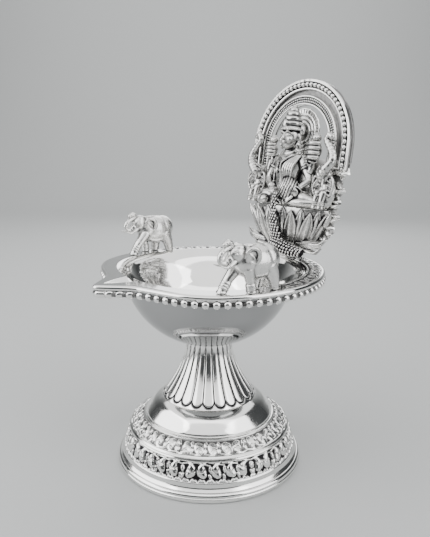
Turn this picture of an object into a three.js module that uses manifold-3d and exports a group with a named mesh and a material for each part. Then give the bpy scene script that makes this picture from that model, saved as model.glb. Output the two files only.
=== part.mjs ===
// A table oil lamp for a shrine: a repousse foot, a fluted stem, a spouted oil bowl with a beaded rim,
// two elephants standing on the rim and a leaning back plate with a seated goddess under an arch.
// Millimetres, +Z up, spout towards -Y, back plate towards +Y.
import * as THREE from 'three';
import { mergeVertices } from 'three/addons/utils/BufferGeometryUtils.js';
import Module from 'manifold-3d';

const wasm = await Module();
wasm.setup();

// Clearances
const seatGap = 0.1;          // between turned pieces that are soldered face to face
const castGap = 0.3;          // between a casting and the curved or leaning face behind it
const threadGap = 0.25;       // round the stud, in every hole it goes through

// Heights of the foot, from the table up
const edgeRingTop = 3.2;
const coveTop = 5.7;
const lowerBandTop = 12.8;
const upperBandTop = 17.4;
const domeTop = 24.2;
const bowlBottom = 43.1;      // underside of the bowl, on its axis

// Radii of the foot
const edgeRingRadius = 33.6;
const coveFootRadius = 32.6;
const lowerBandFootRadius = 31.1;
const ridgeRadius = 28.8;
const upperBandTopRadius = 23.4;
const domeRadius = 22.9;
const fluteFootRadius = 17.0;
const stemNeckRadius = 8.1;
const turnedSides = 36;       // facets round each turned shell
const footSheet = 1.1;        // sheet thickness of the foot's shells
const stemWall = 1.3;
const fluteCount = 24;
const fluteDepth = 0.55;

// Bowl
const cupRadius = 29.6;       // the cup's outside, where it is widest
const bowlWall = 1.0;
const rimTop = 70.8;
const rimRadius = 40.0;
const rimSheet = 1.3;
const rimEdgeDrop = 1.5;      // how far the flange's outer edge is turned down
const openingRadius = 33.4;
const openingRound = 3.6;     // how wide and deep the opening's edge is rounded over
const openingAtSpout = 30.6;
const spoutLength = 44.4;     // from the bowl's axis to the spout's tip
const notchRadius = 36.3;     // where the spout's sides leave the round rim
const notchAngle = 18;        // degrees either side of the spout
const tipRound = 0.1;         // how blunt the spout's tip is, as a share of its width
const lipDepth = 2.9;         // thickness of the spout's floor
const wickGrooveWidth = 8.0;
const wickGrooveDepth = 1.6;
const wickGrooveEnd = 40.6;

// Beaded wire round the rim
const rimBeadCount = 78;
const rimBeadHeight = 1.25;
const rimBeadRadial = 1.0;
const rimBeadInset = 0.75;

// Stud that holds bowl and foot together
const studRadius = 2.0;
const studLength = 11.5;
const washerRadius = 4.9;
const washerThickness = 0.8;
const nutAcrossFlats = 7.0;
const nutThickness = 3.2;

// Elephants on the rim
const elephantLength = 21.5;
const elephantInset = 3.8;      // middle of the elephants, inside the rim's edge
const nearElephantAngle = 71;   // degrees round from the spout, towards +X
const farElephantAngle = 85;    // degrees round from the spout, towards -X
const nearElephantTurn = 4;     // degrees its head is turned in towards the spout

// Back plate, in its own leaning frame: x across, y through the plate, z up along it
const plateLean = 8.0;        // degrees
const plateInset = 1.7;       // where the plate's foot stands, inside the rim's edge
const plateSheet = 1.2;
const archHeight = 41.0;      // centre of the arches above the plate's foot
const archRadius = 24.4;
const outerArchWidth = 3.7;
const outerArchDepth = 1.7;
const innerArchRadius = 18.7;
const innerArchWidth = 3.6;
const innerArchDepth = 1.9;
const archLeg = 8.0;          // straight stretch of the arches below their centre
const archBeadCount = 33;
const archBeadRadius = 0.8;
const windowSill = 36.0;      // bottom of the open window behind the head
const haloRadius = 9.2;
const haloThickness = 1.0;
const haloDepth = 0.6;        // the halo's back, in front of the middle of the plate's sheet
const haloScallops = 18;
const haloRise = 5.0;         // centre of the halo above the centre of the arches
const plateFootWidth = 16.0;
const plateFootFront = 4.7;   // from the plate's seat towards the bowl
const plateFootBack = 1.1;
const plateFootHeight = 2.0;

// Seated figure and its seat, in the plate's frame
const seatHeight = 18.2;
const seatWidth = 20.5;
const seatReach = 11.4;
const petalRise = 1.6;        // how far the lotus's body stands back behind its petals
const headRise = 25.4;        // middle of the head above the seat
const petalCount = 9;

const plateSeatY = rimRadius - plateInset;
const headHeight = seatHeight + headRise;

const silver = { color: 0xd9d9d6, roughness: 0.16, metalness: 1.0 };
const oxidised = { color: 0xb4b3af, roughness: 0.32, metalness: 1.0 };
const steel = { color: 0xa9a9a7, roughness: 0.35, metalness: 1.0 };

const rad = THREE.MathUtils.degToRad;
const v3 = (x, y, z) => new THREE.Vector3(x, y, z);

// Geometry helpers

// Keeps only positions and merges the vertices that coincide.
function welded(geometry) {
  const plain = geometry.clone();
  plain.deleteAttribute('normal');
  plain.deleteAttribute('uv');
  return mergeVertices(plain, 1e-4);
}

// Turns a shape the right way round if its faces point in.
function facingOut(geometry) {
  const shape = welded(geometry);
  const p = shape.attributes.position;
  const index = shape.index.array;
  const [a, b, c] = [v3(), v3(), v3()];
  let volume = 0;
  for (let i = 0; i < index.length; i += 3) {
    a.fromBufferAttribute(p, index[i]);
    b.fromBufferAttribute(p, index[i + 1]);
    c.fromBufferAttribute(p, index[i + 2]);
    volume += a.dot(b.cross(c));
  }
  if (volume < 0) {
    for (let i = 0; i < index.length; i += 3) {
      [index[i], index[i + 1]] = [index[i + 1], index[i]];
    }
  }
  return shape;
}

function toSolid(geometry) {
  const shape = facingOut(geometry);
  const vertProperties = Float32Array.from(shape.attributes.position.array);
  const triVerts = Uint32Array.from(shape.index.array);
  return new wasm.Manifold(new wasm.Mesh({ numProp: 3, vertProperties, triVerts }));
}

function toGeometry(solid) {
  const mesh = solid.getMesh();
  const geometry = new THREE.BufferGeometry();
  geometry.setAttribute('position', new THREE.BufferAttribute(Float32Array.from(mesh.vertProperties), 3));
  geometry.setIndex(new THREE.BufferAttribute(Uint32Array.from(mesh.triVerts), 1));
  return geometry;
}

function fused(geometries) {
  return toGeometry(geometries.map(toSolid).reduce((a, b) => a.add(b)));
}

function cut(geometry, tools) {
  return toGeometry(tools.map(toSolid).reduce((a, b) => a.subtract(b), toSolid(geometry)));
}

// A closed ring turned about the Z axis from a loop of [radius, height] points.
function turned(profile, segments) {
  const loop = profile.map(([r, z]) => new THREE.Vector2(r, z));
  loop.push(loop[0].clone());
  return facingOut(new THREE.LatheGeometry(loop, segments).rotateX(Math.PI / 2));
}

// A ball stretched along its three axes.
function ball(x, y, z, rx, ry, rz, around = 7, down = 5) {
  return new THREE.SphereGeometry(1, around, down).rotateX(Math.PI / 2).scale(rx, ry, rz).translate(x, y, z);
}

// A box between two corners.
function block(low, high) {
  const size = high.map((value, i) => value - low[i]);
  const middle = high.map((value, i) => (value + low[i]) / 2);
  return new THREE.BoxGeometry(...size).translate(...middle);
}

// Stitches rings of points into one closed skin: a loop of rings, or a run of rings with capped ends.
function skin(rings, closedLoop) {
  const sides = rings[0].length;
  const positions = rings.flat().flatMap((p) => [p.x, p.y, p.z]);
  const index = [];
  const last = closedLoop ? rings.length : rings.length - 1;
  for (let i = 0; i < last; i += 1) {
    const next = (i + 1) % rings.length;
    for (let j = 0; j < sides; j += 1) {
      const k = (j + 1) % sides;
      const [a, b] = [i * sides + j, i * sides + k];
      const [c, d] = [next * sides + k, next * sides + j];
      index.push(a, b, c, a, c, d);
    }
  }
  if (!closedLoop) {
    for (const [ring, flip] of [[0, true], [rings.length - 1, false]]) {
      const centre = rings[ring].reduce((sum, p) => sum.add(p), v3(0, 0, 0)).divideScalar(sides);
      const hub = positions.length / 3;
      positions.push(centre.x, centre.y, centre.z);
      for (let j = 0; j < sides; j += 1) {
        const [a, b] = [ring * sides + j, ring * sides + ((j + 1) % sides)];
        index.push(...(flip ? [hub, b, a] : [hub, a, b]));
      }
    }
  }
  const geometry = new THREE.BufferGeometry();
  geometry.setAttribute('position', new THREE.Float32BufferAttribute(positions, 3));
  geometry.setIndex(index);
  return facingOut(geometry);
}

// A round limb along a smooth curve, with a radius at each of its points.
function limb(points, radii, sides = 5, steps = 2 * (points.length - 1), flat = 1) {
  const curve = new THREE.CatmullRomCurve3(points.map((p) => v3(...p)));
  const frames = curve.computeFrenetFrames(steps, false);
  const rings = [];
  for (let i = 0; i <= steps; i += 1) {
    const t = i / steps;
    const centre = curve.getPoint(t);
    const along = t * (radii.length - 1);
    const k = Math.min(Math.floor(along), radii.length - 2);
    const radius = THREE.MathUtils.lerp(radii[k], radii[k + 1], along - k);
    const ring = [];
    for (let j = 0; j < sides; j += 1) {
      const angle = (2 * Math.PI * j) / sides;
      ring.push(centre.clone()
        .addScaledVector(frames.normals[i], radius * Math.cos(angle))
        .addScaledVector(frames.binormals[i], radius * flat * Math.sin(angle)));
    }
    rings.push(ring);
  }
  return skin(rings, false);
}

// A bead wire: a ring or run of round beads, two sections to a bead, on centres given by place(t).
function beadWire(place, beads, big, small, closedLoop, sides = 6) {
  const rings = [];
  const sections = 2 * beads + (closedLoop ? 0 : 1);
  for (let i = 0; i < sections; i += 1) {
    const { centre, out, up } = place(i / (2 * beads));
    const size = i % 2 === 0 ? small : big;
    const ring = [];
    for (let j = 0; j < sides; j += 1) {
      const angle = (2 * Math.PI * j) / sides;
      ring.push(centre.clone()
        .addScaledVector(out, size[0] * Math.cos(angle))
        .addScaledVector(up, size[1] * Math.sin(angle)));
    }
    rings.push(ring);
  }
  return skin(rings, closedLoop);
}

function piece(name, geometry, look, parent) {
  const mesh = new THREE.Mesh(geometry, new THREE.MeshStandardMaterial(look));
  mesh.name = name;
  parent.add(mesh);
  return mesh;
}

// Foot: a rolled edge ring, two repousse bands and a plain dome, soldered one on another, open below

function footEdgeRing() {
  const inner = coveFootRadius - footSheet - 1.2;
  return turned([
    [inner, 0], [edgeRingRadius - 0.5, 0], [edgeRingRadius, 0.6], [edgeRingRadius, 1.9],
    [edgeRingRadius - 0.45, edgeRingTop - 0.4], [coveFootRadius, edgeRingTop], [inner, edgeRingTop],
  ], turnedSides);
}

// A shell of one sheet: the outline given, and the same outline a sheet's thickness inside it.
function sheetShell(outline, thickness, segments) {
  const inside = outline.map(([r, z], i) => {
    const before = outline[Math.max(i - 1, 0)];
    const after = outline[Math.min(i + 1, outline.length - 1)];
    const [dr, dz] = [after[0] - before[0], after[1] - before[1]];
    const length = Math.hypot(dr, dz);
    const level = i === 0 || i === outline.length - 1;
    const shift = level ? thickness * length / Math.max(Math.abs(dz), 0.3 * length) : thickness;
    return level ? [r - shift, z] : [r - shift * dz / length, z + shift * dr / length];
  });
  const lining = inside.filter((_, i) => i === 0 || i === outline.length - 1 || i % 2 === 0);
  return turned([...outline, ...lining.reverse()], segments);
}

function footLowerShell() {
  const foot = edgeRingTop + seatGap;
  const outline = [
    [coveFootRadius - 0.2, foot], [lowerBandFootRadius + 0.5, foot + 1.0],
    [lowerBandFootRadius + 0.35, coveTop],
    [lowerBandFootRadius, coveTop + 0.6],
    [lowerBandFootRadius - 0.25, coveTop + 2.4],
    [ridgeRadius + 1.25, lowerBandTop - 2.3], [ridgeRadius, lowerBandTop],
  ];
  return sheetShell(outline, footSheet, turnedSides);
}

function footUpperShell() {
  const foot = lowerBandTop + seatGap;
  const rise = upperBandTop - foot;
  const spread = ridgeRadius - upperBandTopRadius;
  const outline = [
    [ridgeRadius + 0.1, foot], [ridgeRadius + 0.3, foot + 0.4], [ridgeRadius - 0.1, foot + 0.8],
    [ridgeRadius - 0.25 * spread, foot + 0.42 * rise],
    [ridgeRadius - 0.6 * spread, foot + 0.74 * rise], [upperBandTopRadius, upperBandTop],
  ];
  return sheetShell(outline, footSheet, turnedSides);
}

function footDome() {
  const foot = upperBandTop + seatGap;
  const rise = domeTop - foot;
  const fall = domeRadius - fluteFootRadius;
  const outline = [
    [domeRadius, foot], [domeRadius, foot + 0.12 * rise], [domeRadius - 0.24 * fall, foot + 0.42 * rise],
    [domeRadius - 0.58 * fall, foot + 0.75 * rise], [fluteFootRadius, domeTop - 0.2],
    [fluteFootRadius - 1.6, domeTop],
  ];
  return sheetShell(outline, footSheet, turnedSides);
}

// The cup's outside, half an ellipse turned about Z: a point on it, or a wall's thickness inside it,
// at an angle up from its bottom
const cupDepth = rimTop - bowlBottom;
const cupClimbs = [0.25, 0.6, 0.95, 1.22];

function cupPoint(climb, wall) {
  return [(cupRadius - wall) * Math.sin(climb), rimTop - (cupDepth - wall) * Math.cos(climb)];
}

// Stem: a hollow fluted cone whose top is dished to the cup and has a floor for the stud
const stemTop = cupPoint(Math.asin(stemNeckRadius / cupRadius), -seatGap)[1];
const stemCeiling = bowlBottom - seatGap - stemWall;

function stemRadiusAt(t) {
  const flare = (1 - t) ** 1.75;
  return stemNeckRadius + (fluteFootRadius - stemNeckRadius) * flare;
}

function flutedStem() {
  const foot = domeTop + seatGap;
  const perFlute = 3;
  const sides = fluteCount * perFlute;
  const stops = [0, 0.05, 0.25, 0.48, 0.74, 1];
  const rings = stops.map((t, level) => {
    const radius = stemRadiusAt(t);
    const depth = fluteDepth * (level === 0 ? 0.3 : Math.min(1, radius / 11));
    const lip = level === 0 ? 0.35 : 0;
    return Array.from({ length: sides }, (_, j) => {
      const angle = (2 * Math.PI * j) / sides;
      const lobe = Math.abs(Math.sin((j * Math.PI) / perFlute));
      const r = radius - lip - depth * (1 - lobe);
      return v3(r * Math.cos(angle), r * Math.sin(angle), foot + t * (stemTop - foot));
    });
  });
  const outside = skin(rings, false);
  const belowFoot = foot - 1;
  const bore = [[0, belowFoot], [stemRadiusAt(0) - fluteDepth - stemWall, belowFoot]];
  for (const t of [0.25, 0.48, 0.74]) {
    bore.push([stemRadiusAt(t) - fluteDepth - stemWall, foot + t * (stemTop - foot)]);
  }
  bore.push([stemNeckRadius - fluteDepth - stemWall, stemCeiling], [0, stemCeiling]);
  const dish = [[0, bowlBottom - seatGap], ...cupClimbs.slice(0, 2).map((climb) => cupPoint(climb, -seatGap))];
  dish.push([0, dish[2][1]]);
  return cut(outside, [turned(bore, 24), turned(dish, 40), studHole(stemCeiling - 1, stemTop + 1)]);
}

// A round tool that clears the stud between two heights.
function studHole(low, high) {
  const radius = studRadius + threadGap;
  return new THREE.CylinderGeometry(radius, radius, high - low, 12)
    .rotateX(Math.PI / 2).translate(0, 0, (low + high) / 2);
}

// Bowl: a deep round cup whose flat rim is drawn out to a spout

const smoothStep = (x) => {
  const t = THREE.MathUtils.clamp(x, 0, 1);
  return t * t * (3 - 2 * t);
};

// Radius of the rim's outline at an angle from the spout, in degrees: an ogee point, a notch, then round.
function rimOutline(angle) {
  const a = Math.abs(angle);
  if (a < notchAngle) {
    const t = (Math.hypot(a / notchAngle, tipRound) - tipRound) / (Math.hypot(1, tipRound) - tipRound);
    return spoutLength - (spoutLength - notchRadius) * (1 - (1 - t) ** 1.7);
  }
  return notchRadius + (rimRadius - notchRadius) * smoothStep((a - notchAngle - 4) / 36) ** 0.9;
}

// Radius of the bowl's opening, drawn in a little towards the spout.
function openingOutline(angle) {
  return openingAtSpout + (openingRadius - openingAtSpout) * smoothStep((Math.abs(angle) - 12) / 50);
}

// How far the beaded wire reaches in under the rim.
const beadBay = rimBeadInset + rimBeadRadial + castGap;

// Angles round the bowl, in degrees from the spout, closer together where the outline turns quickly.
function bowlAngles() {
  const side = [1.5, 3.5, 6, 9, 12, 15, 18, 22, 27, 33, 40];
  for (let a = 49; a < 179; a += 9) side.push(a);
  return [0, ...side, 180, ...[...side].reverse().map((a) => -a)];
}

// The direction of an angle counted from the spout, towards +X.
function around(angle) {
  return v3(Math.sin(rad(angle)), -Math.cos(rad(angle)), 0);
}

function bowl() {
  const angles = bowlAngles();
  const sections = angles.map((angle) => {
    const [edge, opening] = [rimOutline(angle), openingOutline(angle)];
    const near = 1 - smoothStep((Math.abs(angle) - 10) / 14);
    const floor = rimTop - THREE.MathUtils.lerp(rimSheet, lipDepth, near);
    const lip = Math.max(opening - openingRound, cupPoint(1.4, bowlWall)[0]);
    const profile = cupClimbs.map((climb) => cupPoint(climb, bowlWall));
    profile.push([lip, rimTop - openingRound]);
    profile.push([THREE.MathUtils.lerp(lip, opening, 0.6), rimTop - 0.3 * openingRound]);
    profile.push([opening + 0.2, rimTop], [edge - 1.1, rimTop], [edge - 0.25, rimTop - 0.35]);
    profile.push([edge, rimTop - rimEdgeDrop], [edge - beadBay, rimTop - rimEdgeDrop]);
    profile.push([edge - beadBay - 0.4, floor]);
    profile.push([opening + 0.9, floor], [lip + 1.1 * bowlWall, rimTop - openingRound - 0.9 * bowlWall]);
    profile.push(...[...cupClimbs].reverse().map((climb) => cupPoint(climb, 0)));
    const out = around(angle);
    return profile.map(([r, z]) => v3(out.x * r, out.y * r, z));
  });
  return bowlSkin(sections);
}

// Stitches the bowl's radial sections and closes its two poles.
function bowlSkin(sections) {
  const count = sections[0].length;
  const positions = sections.flat().flatMap((p) => [p.x, p.y, p.z]);
  const index = [];
  sections.forEach((_, i) => {
    const next = (i + 1) % sections.length;
    for (let j = 0; j < count - 1; j += 1) {
      const [a, b] = [i * count + j, i * count + j + 1];
      const [c, d] = [next * count + j + 1, next * count + j];
      index.push(a, b, c, a, c, d);
    }
  });
  const poles = [[0, bowlBottom + bowlWall, true], [count - 1, bowlBottom, false]];
  for (const [column, height, flip] of poles) {
    const hub = positions.length / 3;
    positions.push(0, 0, height);
    sections.forEach((_, i) => {
      const [a, b] = [i * count + column, ((i + 1) % sections.length) * count + column];
      index.push(...(flip ? [hub, a, b] : [hub, b, a]));
    });
  }
  const geometry = new THREE.BufferGeometry();
  geometry.setAttribute('position', new THREE.Float32BufferAttribute(positions, 3));
  geometry.setIndex(index);
  return cut(geometry, [wickGroove()]);
}

// The leaf-shaped channel that carries the wick from the oil to the spout's tip.
function wickGroove() {
  const start = openingAtSpout - 2;
  const stops = [0, 0.3, 0.6, 0.85, 1];
  const rings = stops.map((t) => {
    const reach = start + t * (wickGrooveEnd - start);
    const half = Math.max(0.5 * wickGrooveWidth * (1 - t ** 1.7), 0.12);
    const depth = Math.max(wickGrooveDepth * (1 - t ** 2.2), 0.1);
    const top = rimTop + 1;
    const across = [-1, -0.6, 0.6, 1];
    const bottom = across.map((k) => v3(k * half, -reach, rimTop - depth * (1 - k * k)));
    return [v3(half, -reach, top), v3(-half, -reach, top), ...bottom];
  });
  return skin(rings, false);
}

// Beads and reels hung below the rim's edge, all the way round with the spout.
function rimBeadWire() {
  const place = (t) => {
    const angle = 360 * t;
    const signed = angle > 180 ? angle - 360 : angle;
    const out = around(angle);
    const radius = rimOutline(signed) - rimBeadInset;
    const height = rimTop - rimEdgeDrop - seatGap - rimBeadHeight;
    const centre = out.clone().multiplyScalar(radius).setZ(height);
    return { centre, out, up: v3(0, 0, 1) };
  };
  const bead = [rimBeadRadial, rimBeadHeight];
  const reel = bead.map((size) => 0.67 * size);
  return beadWire(place, rimBeadCount, bead, reel, true, 4);
}

// Stud, washer and nut that draw the bowl down on the foot

function centreStud() {
  const top = bowlBottom - seatGap;
  return turned([[0, top - studLength], [studRadius, top - studLength], [studRadius, top], [0, top]], 12);
}

const washerTop = stemCeiling - seatGap;

function studWasher() {
  const hole = studRadius + threadGap;
  const low = washerTop - washerThickness;
  return turned([[hole, low], [washerRadius, low], [washerRadius, washerTop], [hole, washerTop]], 16);
}

function studNut() {
  const shape = new THREE.Shape();
  const corner = nutAcrossFlats / Math.sqrt(3);
  for (let i = 0; i < 6; i += 1) {
    const [x, y] = [corner * Math.cos(i * Math.PI / 3), corner * Math.sin(i * Math.PI / 3)];
    if (i === 0) shape.moveTo(x, y);
    else shape.lineTo(x, y);
  }
  const hole = new THREE.Path();
  hole.absarc(0, 0, studRadius + threadGap, 0, 2 * Math.PI, true);
  shape.holes.push(hole);
  const low = washerTop - washerThickness - seatGap - nutThickness;
  return new THREE.ExtrudeGeometry(shape, { depth: nutThickness, bevelEnabled: false, curveSegments: 6 })
    .translate(0, 0, low);
}

// Elephants: solid castings in walking pose, facing the spout, trunk curled up; the foreleg on the side
// given by inner is forward and the hind leg on the side given by trailing is back

function elephant(inner, trailing) {
  const s = elephantLength / 21.5;
  const at = (x, y, z) => [inner * x * s, y * s, z * s];
  const round = (x, y, z, rx, ry, rz, n = 7, m = 5) => ball(...at(x, y, z), rx * s, ry * s, rz * s, n, m);
  const tube = (points, radii, sides, steps) => (
    limb(points.map((p) => at(...p)), radii.map((r) => r * s), sides, steps));
  const leg = (points, radii) => tube(points, radii, 6, 2);
  const forms = [
    round(0, 3.8, 10.4, 3.9, 6.8, 5.0, 10, 6),
    round(0, -1.2, 10.4, 3.4, 3.8, 4.6, 8, 6),
    round(0, -3.8, 13.0, 2.7, 3.3, 3.5, 8, 6),
    round(0, 3.0, 14.8, 1.8, 3.6, 1.2),
    round(2.9, -1.3, 12.7, 0.8, 2.3, 3.0, 6, 5),
    round(-2.9, -1.3, 12.7, 0.8, 2.3, 3.0, 6, 5),
    leg([[2.1, -2.6, 9.0], [2.2, -6.2, 4.6], [2.2, -8.4, 0.0]], [2.3, 1.5, 1.5]),
    leg([[-2.1, -1.4, 8.0], [-2.2, -0.6, 4.0], [-2.2, 0.0, 0.0]], [2.0, 1.35, 1.45]),
    leg([[2.1 * trailing, 6.8, 8.6], [2.2 * trailing, 7.6, 4.0], [2.2 * trailing, 8.8, 0.0]], [2.8, 1.5, 1.45]),
    leg([[-2.1 * trailing, 5.0, 8.0], [-2.2 * trailing, 4.6, 4.0], [-2.2 * trailing, 4.4, 0.0]],
      [2.4, 1.5, 1.45]),
    tube([[0, -5.6, 12.0], [0, -8.2, 10.5], [0, -9.8, 10.9], [0, -10.1, 12.5], [0, -9.1, 14.3],
      [0, -7.3, 15.3], [0, -6.2, 16.3], [0, -7.1, 17.1], [0, -8.3, 16.6]],
    [1.9, 1.15, 0.9, 0.85, 0.85, 0.85, 0.9, 0.85, 0.7], 5, 13),
    tube([[0, 9.6, 12.4], [0, 11.0, 10.0], [0, 10.6, 6.4]], [0.7, 0.5, 0.6], 4, 2),
  ];
  for (const side of [1, -1]) {
    forms.push(tube([[1.5 * side, -6.2, 10.4], [2.0 * side, -8.8, 9.3], [2.1 * side, -11.2, 10.0]],
      [0.8, 0.5, 0.2], 4, 2));
  }
  const ground = block([-9, -14, -3], [9, 14, 0]);
  return cut(fused(forms), [ground]);
}

function placeElephant(name, side, angle, turn, trailing, parent) {
  const mesh = piece(name, elephant(-side, trailing), silver, parent);
  mesh.rotation.z = -side * rad(turn);
  const spot = around(side * angle).multiplyScalar(rimRadius - elephantInset);
  mesh.position.set(spot.x, spot.y, rimTop + seatGap);
}

// Back plate: a leaning sheet with an open window behind the head, two arches, a halo and the castings

const plateFront = -plateSheet / 2;
const archFoot = archHeight - archLeg;
const platePieceBottom = plateFootHeight + castGap;

// Turns an outline drawn in x and height into a plate that stands across Y, its front face at y = front.
function standing(shape, thickness, front, curveSegments) {
  return new THREE.ExtrudeGeometry(shape, { depth: thickness, bevelEnabled: false, curveSegments })
    .rotateX(Math.PI / 2).translate(0, front + thickness, 0);
}

function backPlate() {
  // Half outline below the arch: the stepped ends of the throne's ledges
  const edge = [[24.2, 33.4], [25.0, 31.4], [22.4, 29.6], [22.4, 27.6], [24.2, 25.6], [22.0, 23.8],
    [22.8, 21.2], [21.2, 18.6], [23.2, 16.4], [20.6, 13.6], [21.6, 10.8], [18.2, 7.2], [13.0, 3.6]];
  const shape = new THREE.Shape();
  shape.moveTo(archRadius, archHeight);
  shape.absarc(0, archHeight, archRadius, 0, Math.PI, false);
  const mirrored = edge.map(([x, z]) => [-x, z]);
  for (const [x, z] of mirrored) shape.lineTo(x, z);
  shape.lineTo(-plateFootWidth / 2, platePieceBottom);
  shape.lineTo(plateFootWidth / 2, platePieceBottom);
  for (const [x, z] of [...edge].reverse()) shape.lineTo(x, z);
  const window = innerArchRadius - innerArchWidth;
  const hole = new THREE.Path();
  hole.moveTo(window, windowSill);
  hole.lineTo(window, archHeight);
  hole.absarc(0, archHeight, window, 0, Math.PI, false);
  hole.lineTo(-window, windowSill);
  shape.holes.push(hole);
  return standing(shape, plateSheet, plateFront, 12);
}

// Stations of an arch: up one leg, round the half circle and down the other.
function archStations(steps) {
  const stations = [{ x: 1, z: 0, drop: archLeg }];
  for (let i = 0; i <= steps; i += 1) {
    const angle = (Math.PI * i) / steps;
    stations.push({ x: Math.cos(angle), z: Math.sin(angle), drop: 0 });
  }
  stations.push({ x: -1, z: 0, drop: archLeg });
  return stations;
}

// A moulding swept round an arch; its section is [inset from the outer edge, height above the plate].
function archMoulding(radius, section, base) {
  const rings = archStations(22).map(({ x, z, drop }) => section.map(([inset, rise]) => {
    const r = radius - inset;
    return v3(r * x, base - rise, archHeight + r * z - drop);
  }));
  return skin(rings, false);
}

const mouldingBase = plateFront - seatGap;
const archBeadBed = 0.45 * outerArchDepth;

function outerArch() {
  const [w, d] = [outerArchWidth, outerArchDepth];
  return archMoulding(archRadius, [[0, 0], [0, d], [0.75, d], [1.0, archBeadBed], [w - 0.75, archBeadBed],
    [w - 0.55, 0.8 * d], [w, 0.8 * d], [w, 0]], mouldingBase);
}

function archBeadWire() {
  const bed = (1.0 + outerArchWidth - 0.75) / 2;
  const radius = archRadius - bed;
  const arc = Math.PI * radius;
  const total = arc + 2 * (archLeg - 0.5);
  const depth = mouldingBase - archBeadBed - seatGap - archBeadRadius;
  const place = (t) => {
    const run = t * total - (archLeg - 0.5);
    const angle = THREE.MathUtils.clamp(run / radius, 0, Math.PI);
    const drop = run < 0 ? run : Math.min(0, arc - run);
    const out = v3(Math.cos(angle), 0, Math.sin(angle));
    const centre = v3(radius * out.x, depth, archHeight + radius * out.z + drop);
    return { centre, out, up: v3(0, 1, 0) };
  };
  const bead = [archBeadRadius, archBeadRadius];
  const reel = bead.map((size) => 0.5 * size);
  return beadWire(place, archBeadCount, bead, reel, false, 4);
}

function innerArch() {
  const [w, d] = [innerArchWidth, innerArchDepth];
  return archMoulding(innerArchRadius, [[0, 0], [0, 0.7 * d], [0.6, d], [1.1, 0.75 * d], [w - 1.1, 0.75 * d],
    [w - 0.6, d], [w, 0.7 * d], [w, 0]], mouldingBase);
}

function halo() {
  const shape = new THREE.Shape();
  const points = haloScallops * 3;
  for (let i = 0; i <= points; i += 1) {
    const angle = (2 * Math.PI * i) / points;
    const r = haloRadius - 0.5 * (1 - Math.abs(Math.sin((i * Math.PI) / 3)));
    const [x, z] = [r * Math.cos(angle), archHeight + haloRise + r * Math.sin(angle)];
    if (i === 0) shape.moveTo(x, z);
    else shape.lineTo(x, z);
  }
  return standing(shape, haloThickness, -haloDepth - haloThickness, 1);
}

// A column of level oval sections: [x, y, z, half width, half depth] for each.
function column(sections, sides = 12) {
  return skin(sections.map(([x, y, z, rx, ry]) => Array.from({ length: sides }, (_, j) => {
    const angle = (2 * Math.PI * j) / sides;
    return v3(x + rx * Math.cos(angle), y + ry * Math.sin(angle), z);
  })), false);
}

const headDepth = haloDepth + haloThickness + castGap + 3.9;

// The goddess: seated cross-legged, four arms, tiered crown, resting against the plate on a mantle

function crown() {
  const base = headHeight + 2.0;
  const tiers = [[3.7, 0], [3.85, 1.0], [3.2, 1.7], [3.3, 2.9], [2.7, 3.6], [2.8, 4.8], [2.1, 5.5],
    [2.1, 6.6], [1.35, 7.3], [1.4, 8.2], [0.8, 8.9], [1.0, 9.6]];
  const profile = [[0, 0], ...tiers, [0, 10.4]].map(([r, z]) => [r, base + z]);
  return turned(profile, 10).translate(0, -headDepth, 0);
}

function seatedFigure() {
  const lift = seatHeight + castGap;
  const forms = [
    crown(),
    ball(0, -headDepth - 0.1, headHeight, 3.3, 3.6, 4.0, 9, 7),
    limb([[0, -headDepth, headHeight - 2], [0, -headDepth + 0.4, headHeight - 6.4]], [1.8, 2.0], 8, 1),
    column([[0, -5.4, lift, 6.6, 4.2], [0, -5.2, lift + 3.6, 6.0, 4.0], [0, -4.8, lift + 8.4, 4.1, 3.0],
      [0, -5.2, lift + 13.6, 5.6, 3.7], [0, -5.0, lift + 17.6, 7.0, 3.0], [0, -5.2, lift + 19.8, 3.2, 2.2]]),
    ball(0, -7.4, lift + 1.6, 9.4, 4.6, 2.8, 10, 5),
    column([[0, -2.4, lift, 8.0, 2.2], [0, -2.4, lift + 9, 7.2, 2.2], [0, -2.6, lift + 16.5, 5.0, 2.0]], 8),
  ];
  for (const side of [1, -1]) {
    forms.push(ball(2.4 * side, -7.9, lift + 14.2, 1.9, 1.8, 1.8, 7, 5));
    forms.push(limb([[6.2 * side, -4.8, lift + 17.4], [10.0 * side, -5.0, lift + 13.4],
      [11.2 * side, -5.8, lift + 20.2]], [1.8, 1.4, 1.15], 5, 4));
    forms.push(ball(11.3 * side, -6.2, lift + 22.2, 1.75, 1.75, 2.3, 6, 5));
  }
  // Lower arms, with the hands in front of the lap and over the knee
  const lowerArm = [1.7, 1.4, 1.1];
  const givingArm = [[-6.0, -5.4, lift + 16.8], [-8.6, -6.4, lift + 9.4], [-1.2, -11.3, lift + 6.6]];
  forms.push(limb(givingArm, lowerArm, 5, 5));
  forms.push(ball(-0.9, -11.6, lift + 6.4, 1.7, 1.7, 1.2, 7, 5));
  const kneeArm = [[6.0, -5.4, lift + 16.8], [9.6, -6.4, lift + 9.6], [9.8, -11.0, lift + 7.2]];
  forms.push(limb(kneeArm, lowerArm, 5, 5));
  forms.push(ball(9.8, -12.0, lift + 6.6, 1.8, 0.9, 2.1, 7, 5));
  // Folded legs
  const shin = [[-11.2, -8.8, lift + 3.2], [-2.4, -10.2, lift + 1.4]];
  forms.push(limb([[-3.0, -6.0, lift + 2.6], ...shin], [3.2, 2.8, 1.5], 7, 5));
  const otherShin = [[11.6, -9.0, lift + 4.4], [4.6, -10.6, lift + 1.6]];
  forms.push(limb([[3.0, -6.0, lift + 2.6], ...otherShin], [3.2, 3.0, 1.6], 7, 5));
  const below = block([-30, -30, lift - 12], [30, 10, lift]);
  const behind = block([-30, plateFront - castGap, 0], [30, 10, 80]);
  return cut(fused(forms), [below, behind]);
}

// Lotus seat: half a lotus set against the plate

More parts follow.
